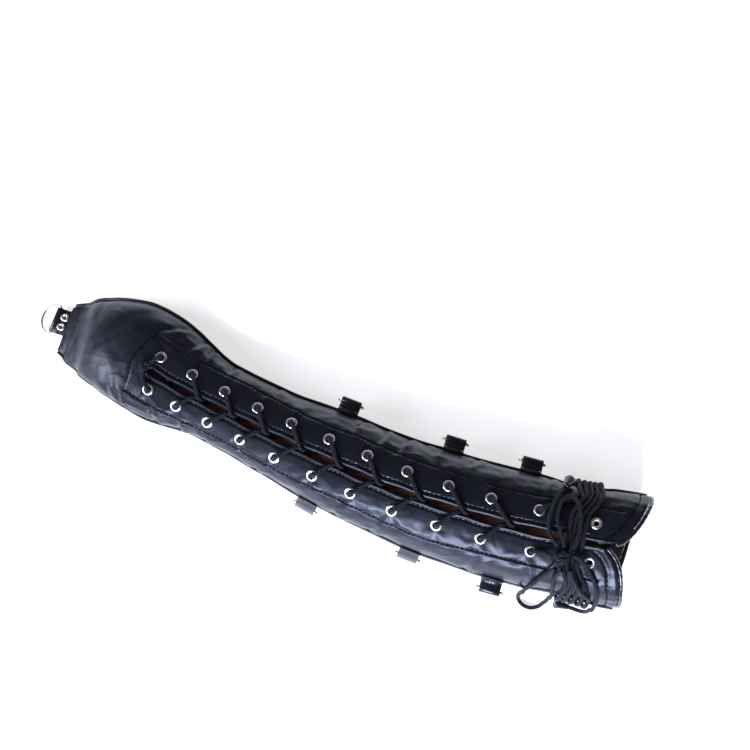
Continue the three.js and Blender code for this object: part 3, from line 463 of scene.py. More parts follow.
camera.matrix_world = Matrix([[right[0], upv[0], BACK[0], AIM[0] + BACK[0] * DIST],
                              [right[1], upv[1], BACK[1], AIM[1] + BACK[1] * DIST],
                              [right[2], upv[2], BACK[2], AIM[2] + BACK[2] * DIST], [0, 0, 0, 1]])
bpy.context.scene.camera = camera
bpy.context.scene.view_settings.view_transform = "Standard"

# ------------------------------------------------------------------ free cords: bow loops and tails
ROUTES = {
    "bow_loop_far": [[211, -7.1, 10.4], [208.4, -1.5, 9.8], [205, 4.5, 7.4], [202, 11, 5.0], [200.6, 18, 4.6], [201.2, 25, 6.6], [205.5, 31.5, 7.4], [211.5, 33, 7.4], [216.8, 28, 7.4], [219.5, 20, 7.2], [220.8, 11, 7.4], [220.8, 3, 9.2], [219.6, -3.2, 10.6], [217.1, -6.7, 10.6]],
    "bow_loop_near": [[208.1, -24.1, 9.0], [204.6, -30, 5.6], [200.4, -38, 3.2], [197, -47, 2.7], [194.2, -58, 2.7], [192.6, -66, 3.6], [192, -72.5, 6.4], [191.4, -79, 7.0], [191.2, -58, 21, 1], [192, -60, 10.5, 1], [194.5, -63.5, 4.0, 1], [199.5, -67, 2.2, 1], [206, -68, 2.2, 1], [211.6, -65, 4.4, 1], [214.2, -61, 11, 1], [215.2, -58.4, 20, 1], [215.6, -77.5, 7.2], [215.5, -71, 6.6], [215.1, -65, 4.4], [214.2, -58, 2.8], [212.2, -46, 2.8], [210.6, -37, 3.8], [211.2, -30, 6.6], [213.7, -24.7, 9.0]],
    "lace_tail_far": [[206.4, -7.5, 9.6], [201.8, -4.6, 7.2], [197.6, 0.4, 4.2], [195.0, 7, 3.2], [194.0, 13, 4.2], [194.4, 18, 6.2], [195.8, 25, 6.9], [198.4, 32, 6.6], [201.4, 38, 5.2], [204, 43.5, 3.9]],
    "lace_tail_near": [[219.2, -12.1, 9.6], [225.6, -13.4, 8.4], [231.6, -17.4, 6.9], [237.6, -24.5, 4.8], [243.6, -33, 2.9], [248.2, -43, 2.6], [250.4, -55, 2.6], [251.2, -66, 3.6], [251.3, -73.5, 6.6], [251.2, -79.5, 7.2], [250.6, -59.5, 22, 1], [249.2, -60.5, 13, 1], [246.2, -60.5, 7.2, 1], [242, -59.8, 5.7, 1], [238, -59.2, 5.7, 1]],
}


def tip(name, key, lift):
    pts = catmull([route_at(q) for q in ROUTES[key]], 1.0)
    d = unit(pts[-1] - pts[-2])
    u = unit(np.cross(d, [0, 0, 1.0]))
    v = np.cross(d, u)
    o = pts[-1] + 0.3 * d + lift * frame_at(209.0, 52.0)[3]
    prof = [(0, 0), (2.2, 0), (2.5, 0.3), (2.9, 2.5), (3.5, 5), (4.3, 8), (5.0, 10.6), (5.35, 12.2), (5.3, 13.0), (4.7, 13.9), (4.2, 13.9), (4.0, 13.3), (2.0, 13.6), (0, 13.8)]
    V, F = lathe_data(prof, 40)
    # a soft seam down one side and a slightly slack skin
    a = np.arctan2(V[:, 1], V[:, 0])
    V[:, :2] *= (1 - 0.07 * np.exp(-((a / 0.16) ** 2)) + 0.02 * np.sin(5 * a + V[:, 2]))[:, None]
    t = make(name, placed(V, o, u, v, d), F, [STRAP])
    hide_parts(name)
    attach(t, "sleeve")
    return t


TIPS = {"lace_tail_far": tip("lace_tip_far", "lace_tail_far", 2.4), "lace_tail_near": tip("lace_tip_near", "lace_tail_near", 0.0)}
SIDES = 20
for key, ctrl in ROUTES.items():
    pts = catmull([route_at(q) for q in ctrl], 1.0)
    V, F, U = tube_data(pts, LACE_R, SIDES)
    o = make(key, V, F, [LACE], U)
    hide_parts(key)
    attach(o, "sleeve")

# ------------------------------------------------------------------ leather relief, in millimetres
EYE = [(x + (NEAR_DX.get(i, 0.0) if s < 0 else 0.0), s * w) for s in (1, -1) for i, (x, w) in enumerate(zip(EYELET_X, EYELET_W))]


def crease(x, w, x0, w0, along, across, slope, depth, seed):
    """One soft fold centred at (x0, w0): long across the sleeve, with a sharp valley and a rounded ridge."""
    q = (w - w0) / across
    wob = 2.2 * np.sin(w / 11.0 + seed) + 1.1 * np.sin(w / 4.7 + 2.1 * seed)
    u = (x - x0 - slope * (w - w0) - wob) / along
    return depth * np.exp(-q * q) * (0.75 * np.exp(-((u - 1.2) ** 2)) - 1.0 * np.exp(-((u / 0.62) ** 2)))


def relief(x, w):
    """Height of the used, creased leather over its smooth shape."""
    p = np.stack([x / 62, w / 26, np.zeros_like(x)], -1).reshape(-1, 3)
    r = 1.5 * smooth_noise(p + 7.3, 3)
    p = np.stack([(x + 0.45 * w) / 30, (w - 0.3 * x) / 13, np.zeros_like(x)], -1).reshape(-1, 3)
    k = smooth_noise(p, 11)
    r += 0.75 * (1 - np.abs(k) * 2.4).clip(-1, 1) * np.exp(-((np.abs(smooth_noise(p / 3, 5)) - 0.5) ** 2) * 4)
    p = np.stack([(x - 0.7 * w) / 13, (w + 0.5 * x) / 7.5, np.ones_like(x)], -1).reshape(-1, 3)
    r += 0.30 * smooth_noise(p, 17)
    p = np.stack([(x + 0.2 * w) / 7.0, w / 16.0, 2 + np.zeros_like(x)], -1).reshape(-1, 3)
    r += (0.42 * (1 - np.abs(smooth_noise(p, 31)) * 3.0).clip(-0.4, 1).reshape(-1) * (np.exp(-(((np.abs(w) - 14) / 12) ** 2)) * (x > -185)).ravel())
    r = r.reshape(x.shape) * (0.85 - 0.42 / (1 + np.exp((x + 200) / 9)))
    for c in CREASES:
        r += crease(x, w, *c)
    # tension lines leaving each eyelet, and a slack edge between them
    damp = np.ones_like(x)
    for n, (ex, ew) in enumerate(EYE):
        s = 1 if ew > 0 else -1
        dx, dw = x - ex, (w - ew) * s
        d2 = dx * dx + dw * dw
        near = d2 < 60**2
        if not near.any():
            continue
        d = np.sqrt(d2)
        th = np.arctan2(dx, dw)
        r += np.where(near & (w * s > 0), 0.62 * np.exp(-((d - 13) / 11) ** 2) * np.cos(5 * th + 1.7 * n) * np.exp(-((th / 1.3) ** 2)), 0)
        damp *= 1 - np.exp(-((d / 7.0) ** 4))
    aw = np.abs(w)
    inner = np.exp(-((aw / 25.0) ** 6)) * (1 / (1 + np.exp(-(x + 205) / 4)))
    r = r * damp * (1 - 0.72 * inner)
    return r


CREASES = [
    (-150, 52, 4.2, 26, 0.25, 2.2, 0.3), (-140, -50, 4.0, 24, -0.22, 2.1, 1.1), (-162, -56, 4.6, 22, -0.3, 1.7, 2.3), (-128, 50, 3.6, 20, 0.1, 1.5, 4.0),
    (-166, 50, 5.0, 20, 0.42, 1.5, 5.2), (-118, -54, 3.6, 18, 0.12, 1.4, 0.9), (-84, 56, 4.2, 18, -0.2, 1.2, 3.3), (-66, -58, 4.6, 20, 0.22, 1.3, 2.6),
    (8, 58, 4.6, 24, 0.3, 1.8, 0.5), (28, 56, 4.2, 24, -0.12, 2.0, 1.9), (50, 58, 4.6, 24, 0.2, 1.9, 3.4), (74, 60, 4.4, 20, -0.28, 1.6, 4.6),
    (20, -62, 5.4, 20, -0.25, 1.4, 2.2), (48, -60, 5.0, 22, 0.3, 1.5, 0.2), (92, -62, 5.2, 20, -0.1, 1.4, 5.1), (120, 62, 4.6, 18, 0.2, 1.3, 1.4),
    (140, -60, 4.8, 20, 0.2, 1.4, 3.9), (192, 62, 3.8, 22, 0.05, 1.5, 0.7), (190, -62, 3.8, 22, -0.05, 1.5, 2.7), (238, 60, 4.2, 24, 0.1, 1.4, 4.4), (236, -60, 4.2, 24, -0.1, 1.4, 5.6),
    (-240, 20, 11.0, 34, 0.9, 0.55, 0.8), (-224, -34, 9.0, 24, -0.8, 0.7, 2.9), (-196, 46, 5.0, 18, 0.7, 1.1, 4.2), (-196, -52, 5.0, 20, -0.6, 1.2, 1.3),
]
TAB_DAMP = [(x, s) for _, x, s, _ in SIDE_TABS]


def seam_damp(x, psi, side):
    """No relief where tabs, piping and the tip's rivets sit."""
    k = 1 - np.exp(-((np.maximum(0, 90 - psi) / 7.0) ** 2))
    for tx, ts in TAB_DAMP:
        k = k * (1 - (side == ts) * np.exp(-(((x - tx) / 14) ** 4)) * np.exp(-((np.maximum(0, 90 - psi) / 26) ** 4)))
    return k * (1 / (1 + np.exp(-(x + 277) / 3.0)))


def half_gap(x):
    """Half the width of the slit in the laced piece: drawn together at each crossing, open in between."""
    r = 2.7
    base = np.where(x < SLIT_START, 0, np.where(x < SLIT_START + r, np.sqrt(np.maximum(0, r * r - (r - (x - SLIT_START)) ** 2)), r))
    ph = np.interp(x, EYELET_X, np.arange(12))
    scal = 0.42 * np.cos(2 * np.pi * (ph - 0.02))
    end = 1 / (1 + np.exp(-(x - 212) / 6.0))
    return base + np.where(x > -182, scal * (1 - end), 0) - 0.9 * end * (x > 0) - np.where(x > -186, 0.35 / (1 + np.exp((x + 95) / 18)), 0)


def tip_end(side, f):
    """Where the closed tip is cut, by side and share of the way from the middle to the seam."""
    return -294.7 + 3.3 * side * f


def columns(wseam, win):
    """Distances across for each row: fine by the slit and by the facing's stitch line, even beyond."""
    k = 1.0
    a = np.r_[np.arange(0, 7.6, 0.42 * k), np.arange(7.6, 25.6, 1.25 * k), np.arange(25.6, 36.0, 0.5 * k), 36.0]
    g = np.linspace(0, 1, int(28 / k) + 1)[1:]
    s = np.minimum(1.0, wseam / 48.0)[:, None]
    A = win[:, None] + a[None] * s
    B = A[:, -1:] + g[None] * (wseam[:, None] - A[:, -1:])
    return np.hstack([A, B])


# ------------------------------------------------------------------ top panel
def top_panel():
    stx = 1.35
    X = np.unique(np.r_[np.arange(X_TIP, SLIT_START - 2, stx), np.arange(SLIT_START - 2, SLIT_START + 6, 0.5), np.arange(SLIT_START + 6, X_CUFF, stx), X_CUFF])
    halves = []
    for side in (1, -1):
        w270 = columns(arc_tables(np.array([270.0]))[:, 179], half_gap(np.array([270.0])))[0]
        xe = edge_x(side, nz(270.0, psi_of(270.0, w270), 0)[0])
        f = np.linspace(0, 1, len(w270))
        ft = w270 / w270[-1]
        XX = np.where(X[:, None] > 150, 150 + (X[:, None] - 150) / (X_CUFF - 150) * (xe[None] - 150), X[:, None] + 0 * f)
        te = tip_end(side, ft)[None]
        XX = np.where(X[:, None] < -262, te + (X[:, None] - X_TIP) / (-262 - X_TIP) * (-262 - te), XX)
        # the slit edge keeps its line until the corner rounds away
        W = np.empty_like(XX)
        for j in range(XX.shape[1]):
            x = XX[:, j]
            W[:, j] = columns(arc_tables(x)[:, 179], half_gap(x))[:, j]
        psi = np.minimum(psi_of(XX, W), 89.6)
        h = relief(XX, side * W) * seam_damp(XX, psi, side)
        # edges: a turned and rolled slit edge, stitch grooves
        edge = W - half_gap(XX)
        inslit = 1 / (1 + np.exp(-(XX - SLIT_START - 1.0) / 0.8))
        g = groove(XX, side * W)
        h += inslit * (0.95 * np.exp(-((edge - 1.7) / 1.15) ** 2) - 0.25 * np.exp(-(edge / 0.6) ** 2))
        rim = xe[None] - XX
        h += 0.7 * np.exp(-(((rim - 3.2) / 2.2) ** 2)) * (XX > 200)
        h -= 0.85 * g
        h += 2.4 * np.exp(-(((XX + 284) / 6.5) ** 2)) * (1 - np.exp(-(((90 - psi) / 16) ** 2)))
        P = on_psi(XX, psi, side, 0)
        # push along the surface normal
        du = np.gradient(P, axis=0)
        dv = np.gradient(P, axis=1)
        nrm = np.cross(du, dv) * side
        nrm /= np.maximum(np.linalg.norm(nrm, axis=-1, keepdims=True), 1e-9)
        halves.append((XX, W, P + nrm * h[..., None], np.clip(g * 1.15, 0, 1)))
    V, F = [], []
    base = 0
    eyes = [frame_at(x, w) for x, w in EYE]
    ep = np.array([e[0] for e in eyes])
    # painted shade along the stitch grooves: the groove mask, stored per point, darkens the leather's colour there
    painted_groove_shade = np.concatenate([q[3].ravel() for q in halves])
    for (XX, W, P, _), side in zip(halves, (1, -1)):
        n, m = XX.shape
        V.append(P.reshape(-1, 3))
        C = (P[:-1, :-1] + P[1:, :-1] + P[1:, 1:] + P[:-1, 1:]) / 4
        d = np.full(C.shape[:2], 99.0)
        for q in ep:
            d = np.minimum(d, np.linalg.norm(C - q, axis=-1))
        keep = d > 3.55
        if side < 0:
            pass
        i, j = np.nonzero(keep)
        a = base + i * m + j
        quads = np.stack([a, a + m, a + m + 1, a + 1], -1)
        F.append(quads if side > 0 else quads[:, ::-1])
        base += n * m
    V, F = np.vstack(V), np.vstack(F)
    o = make("top_panel", V, F.tolist(), [BLACK, EDGE, INNER])
    o.data.attributes.new("painted_groove_shade", "FLOAT", "POINT").data.foreach_set("value", painted_groove_shade.astype(np.float32))
    finish_skin(o, 1.9)
    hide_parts("top_panel")
    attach(o, "sleeve")
    return o


def finish_skin(o, thick):
    bpy.context.view_layer.objects.active = o
    for q in bpy.context.selected_objects:
        q.select_set(False)
    o.select_set(True)
    w = o.modifiers.new("weld", "WELD")
    w.merge_threshold = 0.00012
    s = o.modifiers.new("thick", "SOLIDIFY")
    s.thickness, s.offset, s.use_even_offset = thick / 1000, -1, False
    s.material_offset, s.material_offset_rim = 2, 1
    for m in list(o.modifiers):
        bpy.ops.object.modifier_apply(modifier=m.name)
    o.data.polygons.foreach_set("use_smooth", [True] * len(o.data.polygons))


# ------------------------------------------------------------------ stitch lines on the top panel: (x, w) polylines
FAC = {1: ([-201.4, -171.3, -95.1, -18.4, 19.1, 158.1, 189.9, 262], [30.6, 29.5, 31.5, 29.4, 32.4, 30.8, 32.7, 34.0]),
       -1: ([-200.6, -104.4, -25.3, 11.8, 65.6, 101.6, 152.2, 193.4, 250], [30.4, 26.5, 30.0, 29.4, 33.7, 35.1, 30.8, 30.9, 33.0])}


def stitch_lines():
    L = []
    for s in (1, -1):
        last = 262.0 if s > 0 else 249.0
        x = np.arange(FAC[s][0][0], last, 3.0)
        L.append(np.stack([x, s * np.interp(x, *FAC[s])], -1))
        x = np.arange(SLIT_START + 4, 232, 3.0)
        L.append(np.stack([x, s * (half_gap(x) + 4.6)], -1))
        # cuff row, 10 mm in from the shaped edge
        w = np.arange(7.5, 84, 2.5)
        n = nz(262.0, psi_of(262.0, w), 0)[0]
        L.append(np.stack([edge_x(s, n) - 9.0 - 4.0 * np.exp(-(w - 7.5) / 8), s * w], -1))
    # the facing's curved end, with sharp corners
    L.append(np.array([[-201.6, 30.7], [-206.6, 20], [-208.8, 9.9], [-209.1, 3.0], [-208.4, -2.4], [-206.6, -8.5], [-203.8, -13.9], [-202.4, -22], [-200.5, -30.5]]))
    return L


LINES = stitch_lines()


def _dense(line, step):
    d = np.r_[0, np.cumsum(np.linalg.norm(np.diff(line, axis=0), axis=1))]
    s = np.arange(0, d[-1], step)
    return np.stack([np.interp(s, d, line[:, k]) for k in range(2)], -1)


def groove(x, w):
    """How near a stitch line runs, 0 to 1, a little deeper under each stitch."""
    key = _grid
    i = np.clip(((x - key["x0"]) / key["s"]).astype(int), 0, key["m"].shape[0] - 1)
    j = np.clip(((w - key["w0"]) / key["s"]).astype(int), 0, key["m"].shape[1] - 1)
    return key["m"][i, j]


def _make_grid():
    s, x0, x1, w0, w1 = 0.5, -300.0, 280.0, -110.0, 110.0
    m = np.zeros((int((x1 - x0) / s), int((w1 - w0) / s)))
    for line in LINES:
        for px, pw in _dense(line, 0.4):
            i, j = int((px - x0) / s), int((pw - w0) / s)
            a, b = slice(max(0, i - 6), i + 7), slice(max(0, j - 6), j + 7)
            gx = x0 + (np.arange(a.start, min(a.stop, m.shape[0])) + 0.5) * s - px
            gw = w0 + (np.arange(b.start, min(b.stop, m.shape[1])) + 0.5) * s - pw
            g = np.exp(-((gx[:, None] ** 2 + gw[None] ** 2) / 1.0**2))
            m[a, b] = np.maximum(m[a, b], g)
    return {"x0": x0, "w0": w0, "s": s, "m": m}


_grid = _make_grid()


def surface(x, w):
    """Points on the relief of the top panel."""
    x, w = np.asarray(x, float), np.asarray(w, float)
    psi = np.minimum(psi_of(x, w), 89.6)
    side = np.where(w < 0, -1.0, 1.0)
    h = relief(x, w) * seam_damp(x, psi, side) - 0.85 * groove(x, w) + 0.35
    return on_psi(x, psi, side, h)


def stitches(name, lines3d, pitch=4.2, long=3.1, r=0.33):
    """Thread stitches, one small rounded bar each, from surface polylines with normals."""
    q = 2 * np.pi * np.arange(6) / 6
    V, F, o = [], [], 0
    for pts, nrm in lines3d:
        d = np.r_[0, np.cumsum(np.linalg.norm(np.diff(pts, axis=0), axis=1))]
        for s0 in np.arange(1.0, d[-1] - long, pitch):
            s = s0 + np.array([0.0, 0.25, 0.5, 0.75, 1.0]) * long
            p = np.stack([np.interp(s, d, pts[:, k]) for k in range(3)], -1)
            n = np.stack([np.interp(s, d, nrm[:, k]) for k in range(3)], -1)
            n /= np.linalg.norm(n, axis=1)[:, None]
            t = unit(p[-1] - p[0])
            b = np.cross(t, n)
            lift = np.array([-0.45, 0.18, 0.3, 0.18, -0.45])
            rad = np.array([0.7, 1, 1, 1, 0.7]) * r
            ring = (p + n * lift[:, None])[:, None] + (n[:, None] * np.cos(q)[None, :, None] + b[:, None] * np.sin(q)[None, :, None]) * rad[:, None, None]
            V.append(ring.reshape(-1, 3))
            for i in range(4):
                for k in range(6):
                    F.append([o + i * 6 + k, o + i * 6 + (k + 1) % 6, o + (i + 1) * 6 + (k + 1) % 6, o + (i + 1) * 6 + k])
            F.append([o + k for k in range(6)][::-1])
            F.append([o + 24 + k for k in range(6)])
            o += 30
    ob = make(name, np.vstack(V), F, [THREAD])
    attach(ob, "sleeve")
    return ob


top_panel()


def with_normals(xw):
    P = surface(xw[:, 0], xw[:, 1])
    a = surface(xw[:, 0] + 1.5, xw[:, 1]) - surface(xw[:, 0] - 1.5, xw[:, 1])
    b = surface(xw[:, 0], xw[:, 1] + 1.5) - surface(xw[:, 0], xw[:, 1] - 1.5)
    n = np.cross(a, b)
    n /= np.linalg.norm(n, axis=1)[:, None]
    return P, n


stitches("stitching_top", [with_normals(_dense(L, 1.2)) for L in LINES], pitch=4.4, long=3.4, r=0.45)


# ------------------------------------------------------------------ underside panel
def underside():
    stx = 1.8
    X = np.unique(np.r_[np.arange(X_TIP, X_CUFF, stx), X_CUFF])
    psi = np.r_[90.6, np.linspace(92, 180, 56)]
    psi = np.r_[psi, 360 - psi[::-1][1:]]
    XX, PP = np.meshgrid(X, psi, indexing="ij")
    side = np.where(PP <= 180, 1.0, -1.0)
    ps = np.where(PP <= 180, PP, 360 - PP)
    n0 = side[0] * nz(279.0, ps[0], 0)[0]
    XX = np.where(XX > 150, 150 + (XX - 150) / (X_CUFF - 150) * (under_x(n0)[None] - 150), XX)
    te = tip_end(side, nz(-296.0, ps[0], 0)[0][None] / float(nz(-296.0, 90.0, 0)[0]))
    XX = np.where(XX < -262, te + (XX - X_TIP) / (-262 - X_TIP) * (-262 - te), XX)
    P = on_psi(XX, ps, side, 0)
    k = np.clip((ps - 90.6) / 9, 0, 1) * np.clip((168 - ps) / 40, 0, 1)
    for tx, ts in TAB_DAMP:
        k = k * (1 - (side == ts) * np.exp(-(((XX - tx) / 14) ** 4)) * np.exp(-(((ps - 90) / 26) ** 4)))
    q = np.stack([XX / 45, ps / 22 + 9 * side, 0 * XX], -1).reshape(-1, 3)
    r = (1.3 * smooth_noise(q, 23) + 0.5 * smooth_noise(q * 2.7, 29)).reshape(XX.shape)
    for c in CREASES:
        r += 0.8 * crease(XX, side * (ps - 90) * 0.8, c[0] + 3, np.sign(c[1]) * 12, c[2], 30, -c[4], c[5] * 0.9, c[6])
    du, dv = np.gradient(P, axis=0), np.gradient(P, axis=1)
    nrm = np.cross(du, dv)
    nrm /= np.maximum(np.linalg.norm(nrm, axis=-1, keepdims=True), 1e-9)
    P = P + nrm * (r * k * np.clip((XX + 280) / 10, 0, 1))[..., None]
    P[..., 2] = np.maximum(P[..., 2], 0.0)
    n, m = XX.shape
    i, j = np.meshgrid(np.arange(n - 1), np.arange(m - 1), indexing="ij")
    a = (i * m + j).ravel()
    o = make("underside_panel", P.reshape(-1, 3), np.stack([a, a + m, a + m + 1, a + 1], -1).tolist(), [BLACK, EDGE, INNER])
    finish_skin(o, 1.8)
    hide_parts("underside_panel")
    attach(o, "sleeve")


underside()

for name, m in (("eyelet_facing", EDGE), ("tongue", SUEDE)):
    NODES[name].data.materials.clear()
    NODES[name].data.materials.append(m)

# ------------------------------------------------------------------ eyelets
PROFILE = [(2.62, -4.2), (3.5, -4.25), (3.9, -4.0), (3.3, -3.8), (3.02, -3.6), (3.0, 0.15), (5.15, 0.16), (5.32, 0.42), (5.2, 0.72), (4.85, 1.02), (4.3, 1.22),
           (3.75, 1.26), (3.2, 1.12), (2.85, 0.82), (2.66, 0.3), (2.6, -0.8), (2.62, -4.2)]
EV, EF = lathe_data(PROFILE, 40)
for tag, s in (("far", 1), ("near", -1)):
    for i, (x, w) in enumerate(zip(EYELET_X, EYELET_W)):
        p, u, v, n = frame_at(x + (NEAR_DX.get(i, 0.0) if s < 0 else 0.0), s * w)
        o = make(f"eyelet_{tag}_{i + 1:02d}", placed(EV, p, u, v, n), EF, [NICKEL])
        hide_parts(f"eyelet_{tag}_{i + 1:02d}")
        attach(o, "sleeve")

# ------------------------------------------------------------------ the laced run
LIFT, SINK, BEND = 4.5, -7.6, 3.0
FR = {(i, s): frame_at(x + (NEAR_DX.get(i, 0.0) if s < 0 else 0.0), s * w) for s in (1, -1) for i, (x, w) in enumerate(zip(EYELET_X, EYELET_W))}


def eye_in(f, start):
    p, _, _, n = f
    d = p + n * SINK - start
    d = unit(d - n * (d @ n))
    k = BEND
    return [p + d * a + n * h for a, h in ((-7, SINK + 0.2), (-k, SINK), (-k * 0.293, SINK + k * 0.293), (0, SINK + k))]


def eye_out(f, to):
    p, _, _, n = f
    d = to - p
    d = unit(d - n * (d @ n))
    k = BEND
    return [p + d * a + n * h for a, h in ((0, LIFT - k), (k * 0.293, LIFT - k * 0.293), (k, LIFT), (7.5, LIFT - 1.0))]


def crossing(i, s, first):
    x0, Lx = EYELET_X[i], EYELET_X[i + 1] - EYELET_X[i]
    if first:
        rows = ([[0.28, 8.5, -7.1], [0.40, 3.0, -6.3], [0.45, 1.6, -5.1], [0.5, 0, -3.7], [0.55, -1.6, -5.1], [0.60, -3.0, -6.3], [0.72, -8.5, -7.1]] if s > 0
                else [[0.28, 8.5, -7.4], [0.5, 0, -7.9], [0.72, -8.5, -7.4]])
    else:
        rows = ([[0.34, 5.4, 2.5], [0.41, 2.9, 2.4], [0.48, 0.5, 1.8], [0.54, -0.1, 0.2], [0.59, -0.3, -2.6], [0.64, -1.3, -5.2], [0.70, -3.8, -6.6], [0.77, -7.5, -7.2]] if s > 0
                else [[0.23, 5.9, 2.5], [0.30, 3.0, 2.3], [0.36, 0.9, 0.4], [0.42, 0.3, -2.8], [0.49, 0, -4.9], [0.57, -2.6, -6.4], [0.65, -6.0, -7.2]])
    return [at(x0 + t * Lx, s * w, h) for t, w, h in rows]


def lace_half(s):
    first = crossing(0, s, True)
    pts = eye_in(FR[0, s], first[0])[::-1] + first
    for i in range(1, 11):
        s = -s
        pts += eye_in(FR[i, s], pts[-1])
        if i < 10:
            c = crossing(i, s, False)
            pts += eye_out(FR[i, s], c[0]) + c
    return pts


def knot(c, u, v, n, size, r, turns=1.0):
    """A small tied lump: a trefoil of the cord drawn tight."""
    t = np.linspace(0, 2 * np.pi, 160, endpoint=False)
    a = np.stack([np.sin(t) + 2 * np.sin(2 * t), np.cos(t) - 2 * np.cos(2 * t), -np.sin(3 * t)], -1)
    a = a / np.array([3.0, 3.0, 1.0]) * (np.array(size) - r)
    return tube_data(placed(a, c, u, v, n), r, SIDES, closed=True)


KNOT = (211.5, -15.5, 9.4)
half_a, half_b = lace_half(1), lace_half(-1)
top3 = [at(-191.2, 6.5, 3.6), at(-193, 0, 3.9), at(-189.2, -6.5, 3.6)]
start_out, start_in = eye_out(FR[0, 1], top3[0])[:3], eye_out(FR[0, -1], top3[2])[:3][::-1]
end_a = eye_out(FR[10, 1], at(196, 26, 0))[:3] + [at(190.8, 22.0, 3.6), at(194.3, 24.6, 2.9)]
end_b = eye_out(FR[10, -1], at(192, -14, 0))[:3] + [at(195.5, -15.6, 3.8), at(KNOT[0] - 8.4, -15.9, 8.4)]
run = catmull(end_a[::-1] + half_a[::-1] + start_out + top3 + start_in + half_b + end_b, 0.8)
kp, ku, kv, kn = frame_at(-193.4, 0.001)
V, F, U = join_data([tube_data(run, LACE_R, SIDES), knot(kp + kn * 4.0, ku, kv, kn, (5.6, 6.2, 3.2), 1.75)])
o = make("lace_criss_cross", V, F, [LACE], U)
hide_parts("lace_criss_cross")
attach(o, "sleeve")

# turns round the cuff
pts = [at(194.9, 25.1, 2.8), at(201, 30, 2.6), at(208.5, 34.5, 2.65), at(214.5, 38.2, 2.65)]
PER = 2 * arc_tables(228.0)[0, 360]
for q in np.arange(0, PER * WRAP_TURNS - 97, 4.6):
    ww = 42 + q
    while ww > PER / 2:
        ww -= PER
    k = min(1.0, max(0.0, (abs(ww) - 18) / 27))
    k = k * k * (3 - 2 * k)
    x = WRAP_X + WRAP_PITCH * q / PER + k * (9.5 + 1.1 * q / PER)      # the turns spread and run back at the sides
    psi = float(psi_of(x, ww * 2 * arc_tables(x)[0, 360] / PER))
    p = on_psi(x, psi, 1.0 if ww > 0 else -1.0, 2.65 + 3.6 * max(0, 1 - ((psi - 90) / 17) ** 2))
    p[2] = max(p[2], 2.05)
    pts.append(p)
pts += [at(242.5, -50, 4.6), at(237, -43.5, 6.8), at(230.5, -36.5, 7.4), at(224.5, -29.5, 7.9), at(219.8, -23.4, 8.9)]
V, F, U = tube_data(catmull(pts, 1.0), LACE_R, SIDES)
o = make("lace_wraps", V, F, [LACE], U)
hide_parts("lace_wraps")
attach(o, "sleeve")

kp, ku, kv, kn = frame_at(KNOT[0], KNOT[1])
c = kp + kn * KNOT[2]
parts = [knot(c, ku, kv, kn, (6.6, 7.6, 4.2), 1.85)]
t = np.linspace(0, 2 * np.pi, 60, endpoint=False)
for off, tilt in ((-1.9, 0.25), (1.9, 0.25)):     # two turns of cord round the middle of the knot
    ring = np.stack([3.4 * np.cos(t), off + tilt * 3 * np.cos(t), 3.3 * np.sin(t)], -1)
    parts.append(tube_data(placed(ring, c, ku, kv, kn), 1.7, SIDES, closed=True))
V, F, U = join_data(parts)
o = make("bow_knot", V, F, [LACE], U)
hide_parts("bow_knot")
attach(o, "sleeve")

# ------------------------------------------------------------------ piping and cuff binding
for tag, s in (("far", 1), ("near", -1)):
    xs = np.r_[np.arange(-290.5 if s > 0 else -297.0, edge_x(s, 51.4) - 3, 3.0), edge_x(s, 51.4) - 1]
    pts = np.array([on_psi(x, 90.0, s, 1.1 + 0.12 * math.sin(x / 7.0 + s)) for x in xs])
    V, F, U = tube_data(catmull(pts, 2.0), 1.5, SIDES, radii=None)
    o = make(f"side_piping_{tag}", V, F, [PIPING], U)
    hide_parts(f"side_piping_{tag}")
    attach(o, "sleeve")


def edge_p(s, psi):
    n = nz(270.0 if psi <= 90 else 279.0, float(psi), 0)[0]
    n = float(np.ravel(n)[0])
    return on_psi(float(edge_x(s, n) if psi <= 90 else under_x(s * n)), float(psi), float(s), -1.0)


def binding_points():
    def rim(s, psi):
        a, b, p = max(psi - 1.5, 1.0), min(psi + 1.5, 179.0), edge_p(s, psi)
        q = min(max(psi, 3.0), 177.0)
        x = edge_x(s, float(np.ravel(nz(270.0, float(psi), 0)[0])[0])) if psi <= 90 else under_x(s * float(np.ravel(nz(279.0, float(psi), 0)[0])[0]))
        lift = unit(on_psi(float(x), q, float(s), 2.0) - on_psi(float(x), q, float(s), 0.0))
        out = unit(np.cross(unit(edge_p(s, b) - edge_p(s, a)), lift))
        p = p + out * (2.0 if out[0] > 0 else -2.0)
        p[2] = max(p[2], 2.15)
        return p
    psis = [3.5, 6, 9, 12.5, 17, 23, 30, 39, 49, 60, 72, 81, 90, 102, 115, 130, 146, 164]
    return [rim(1, q) for q in psis] + [rim(1, 180)] + [rim(-1, q) for q in psis[::-1]]


pts = catmull(binding_points(), 1.5)
k = np.arange(len(pts))
V, F, U = tube_data(pts, 1.9, SIDES, radii=1.9 + 0.10 * np.sin(k * 1.5) + 0.06 * np.sin(k * 0.37))
o = make("cuff_binding", V, F, [GLOSS], U)
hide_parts("cuff_binding")
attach(o, "sleeve")


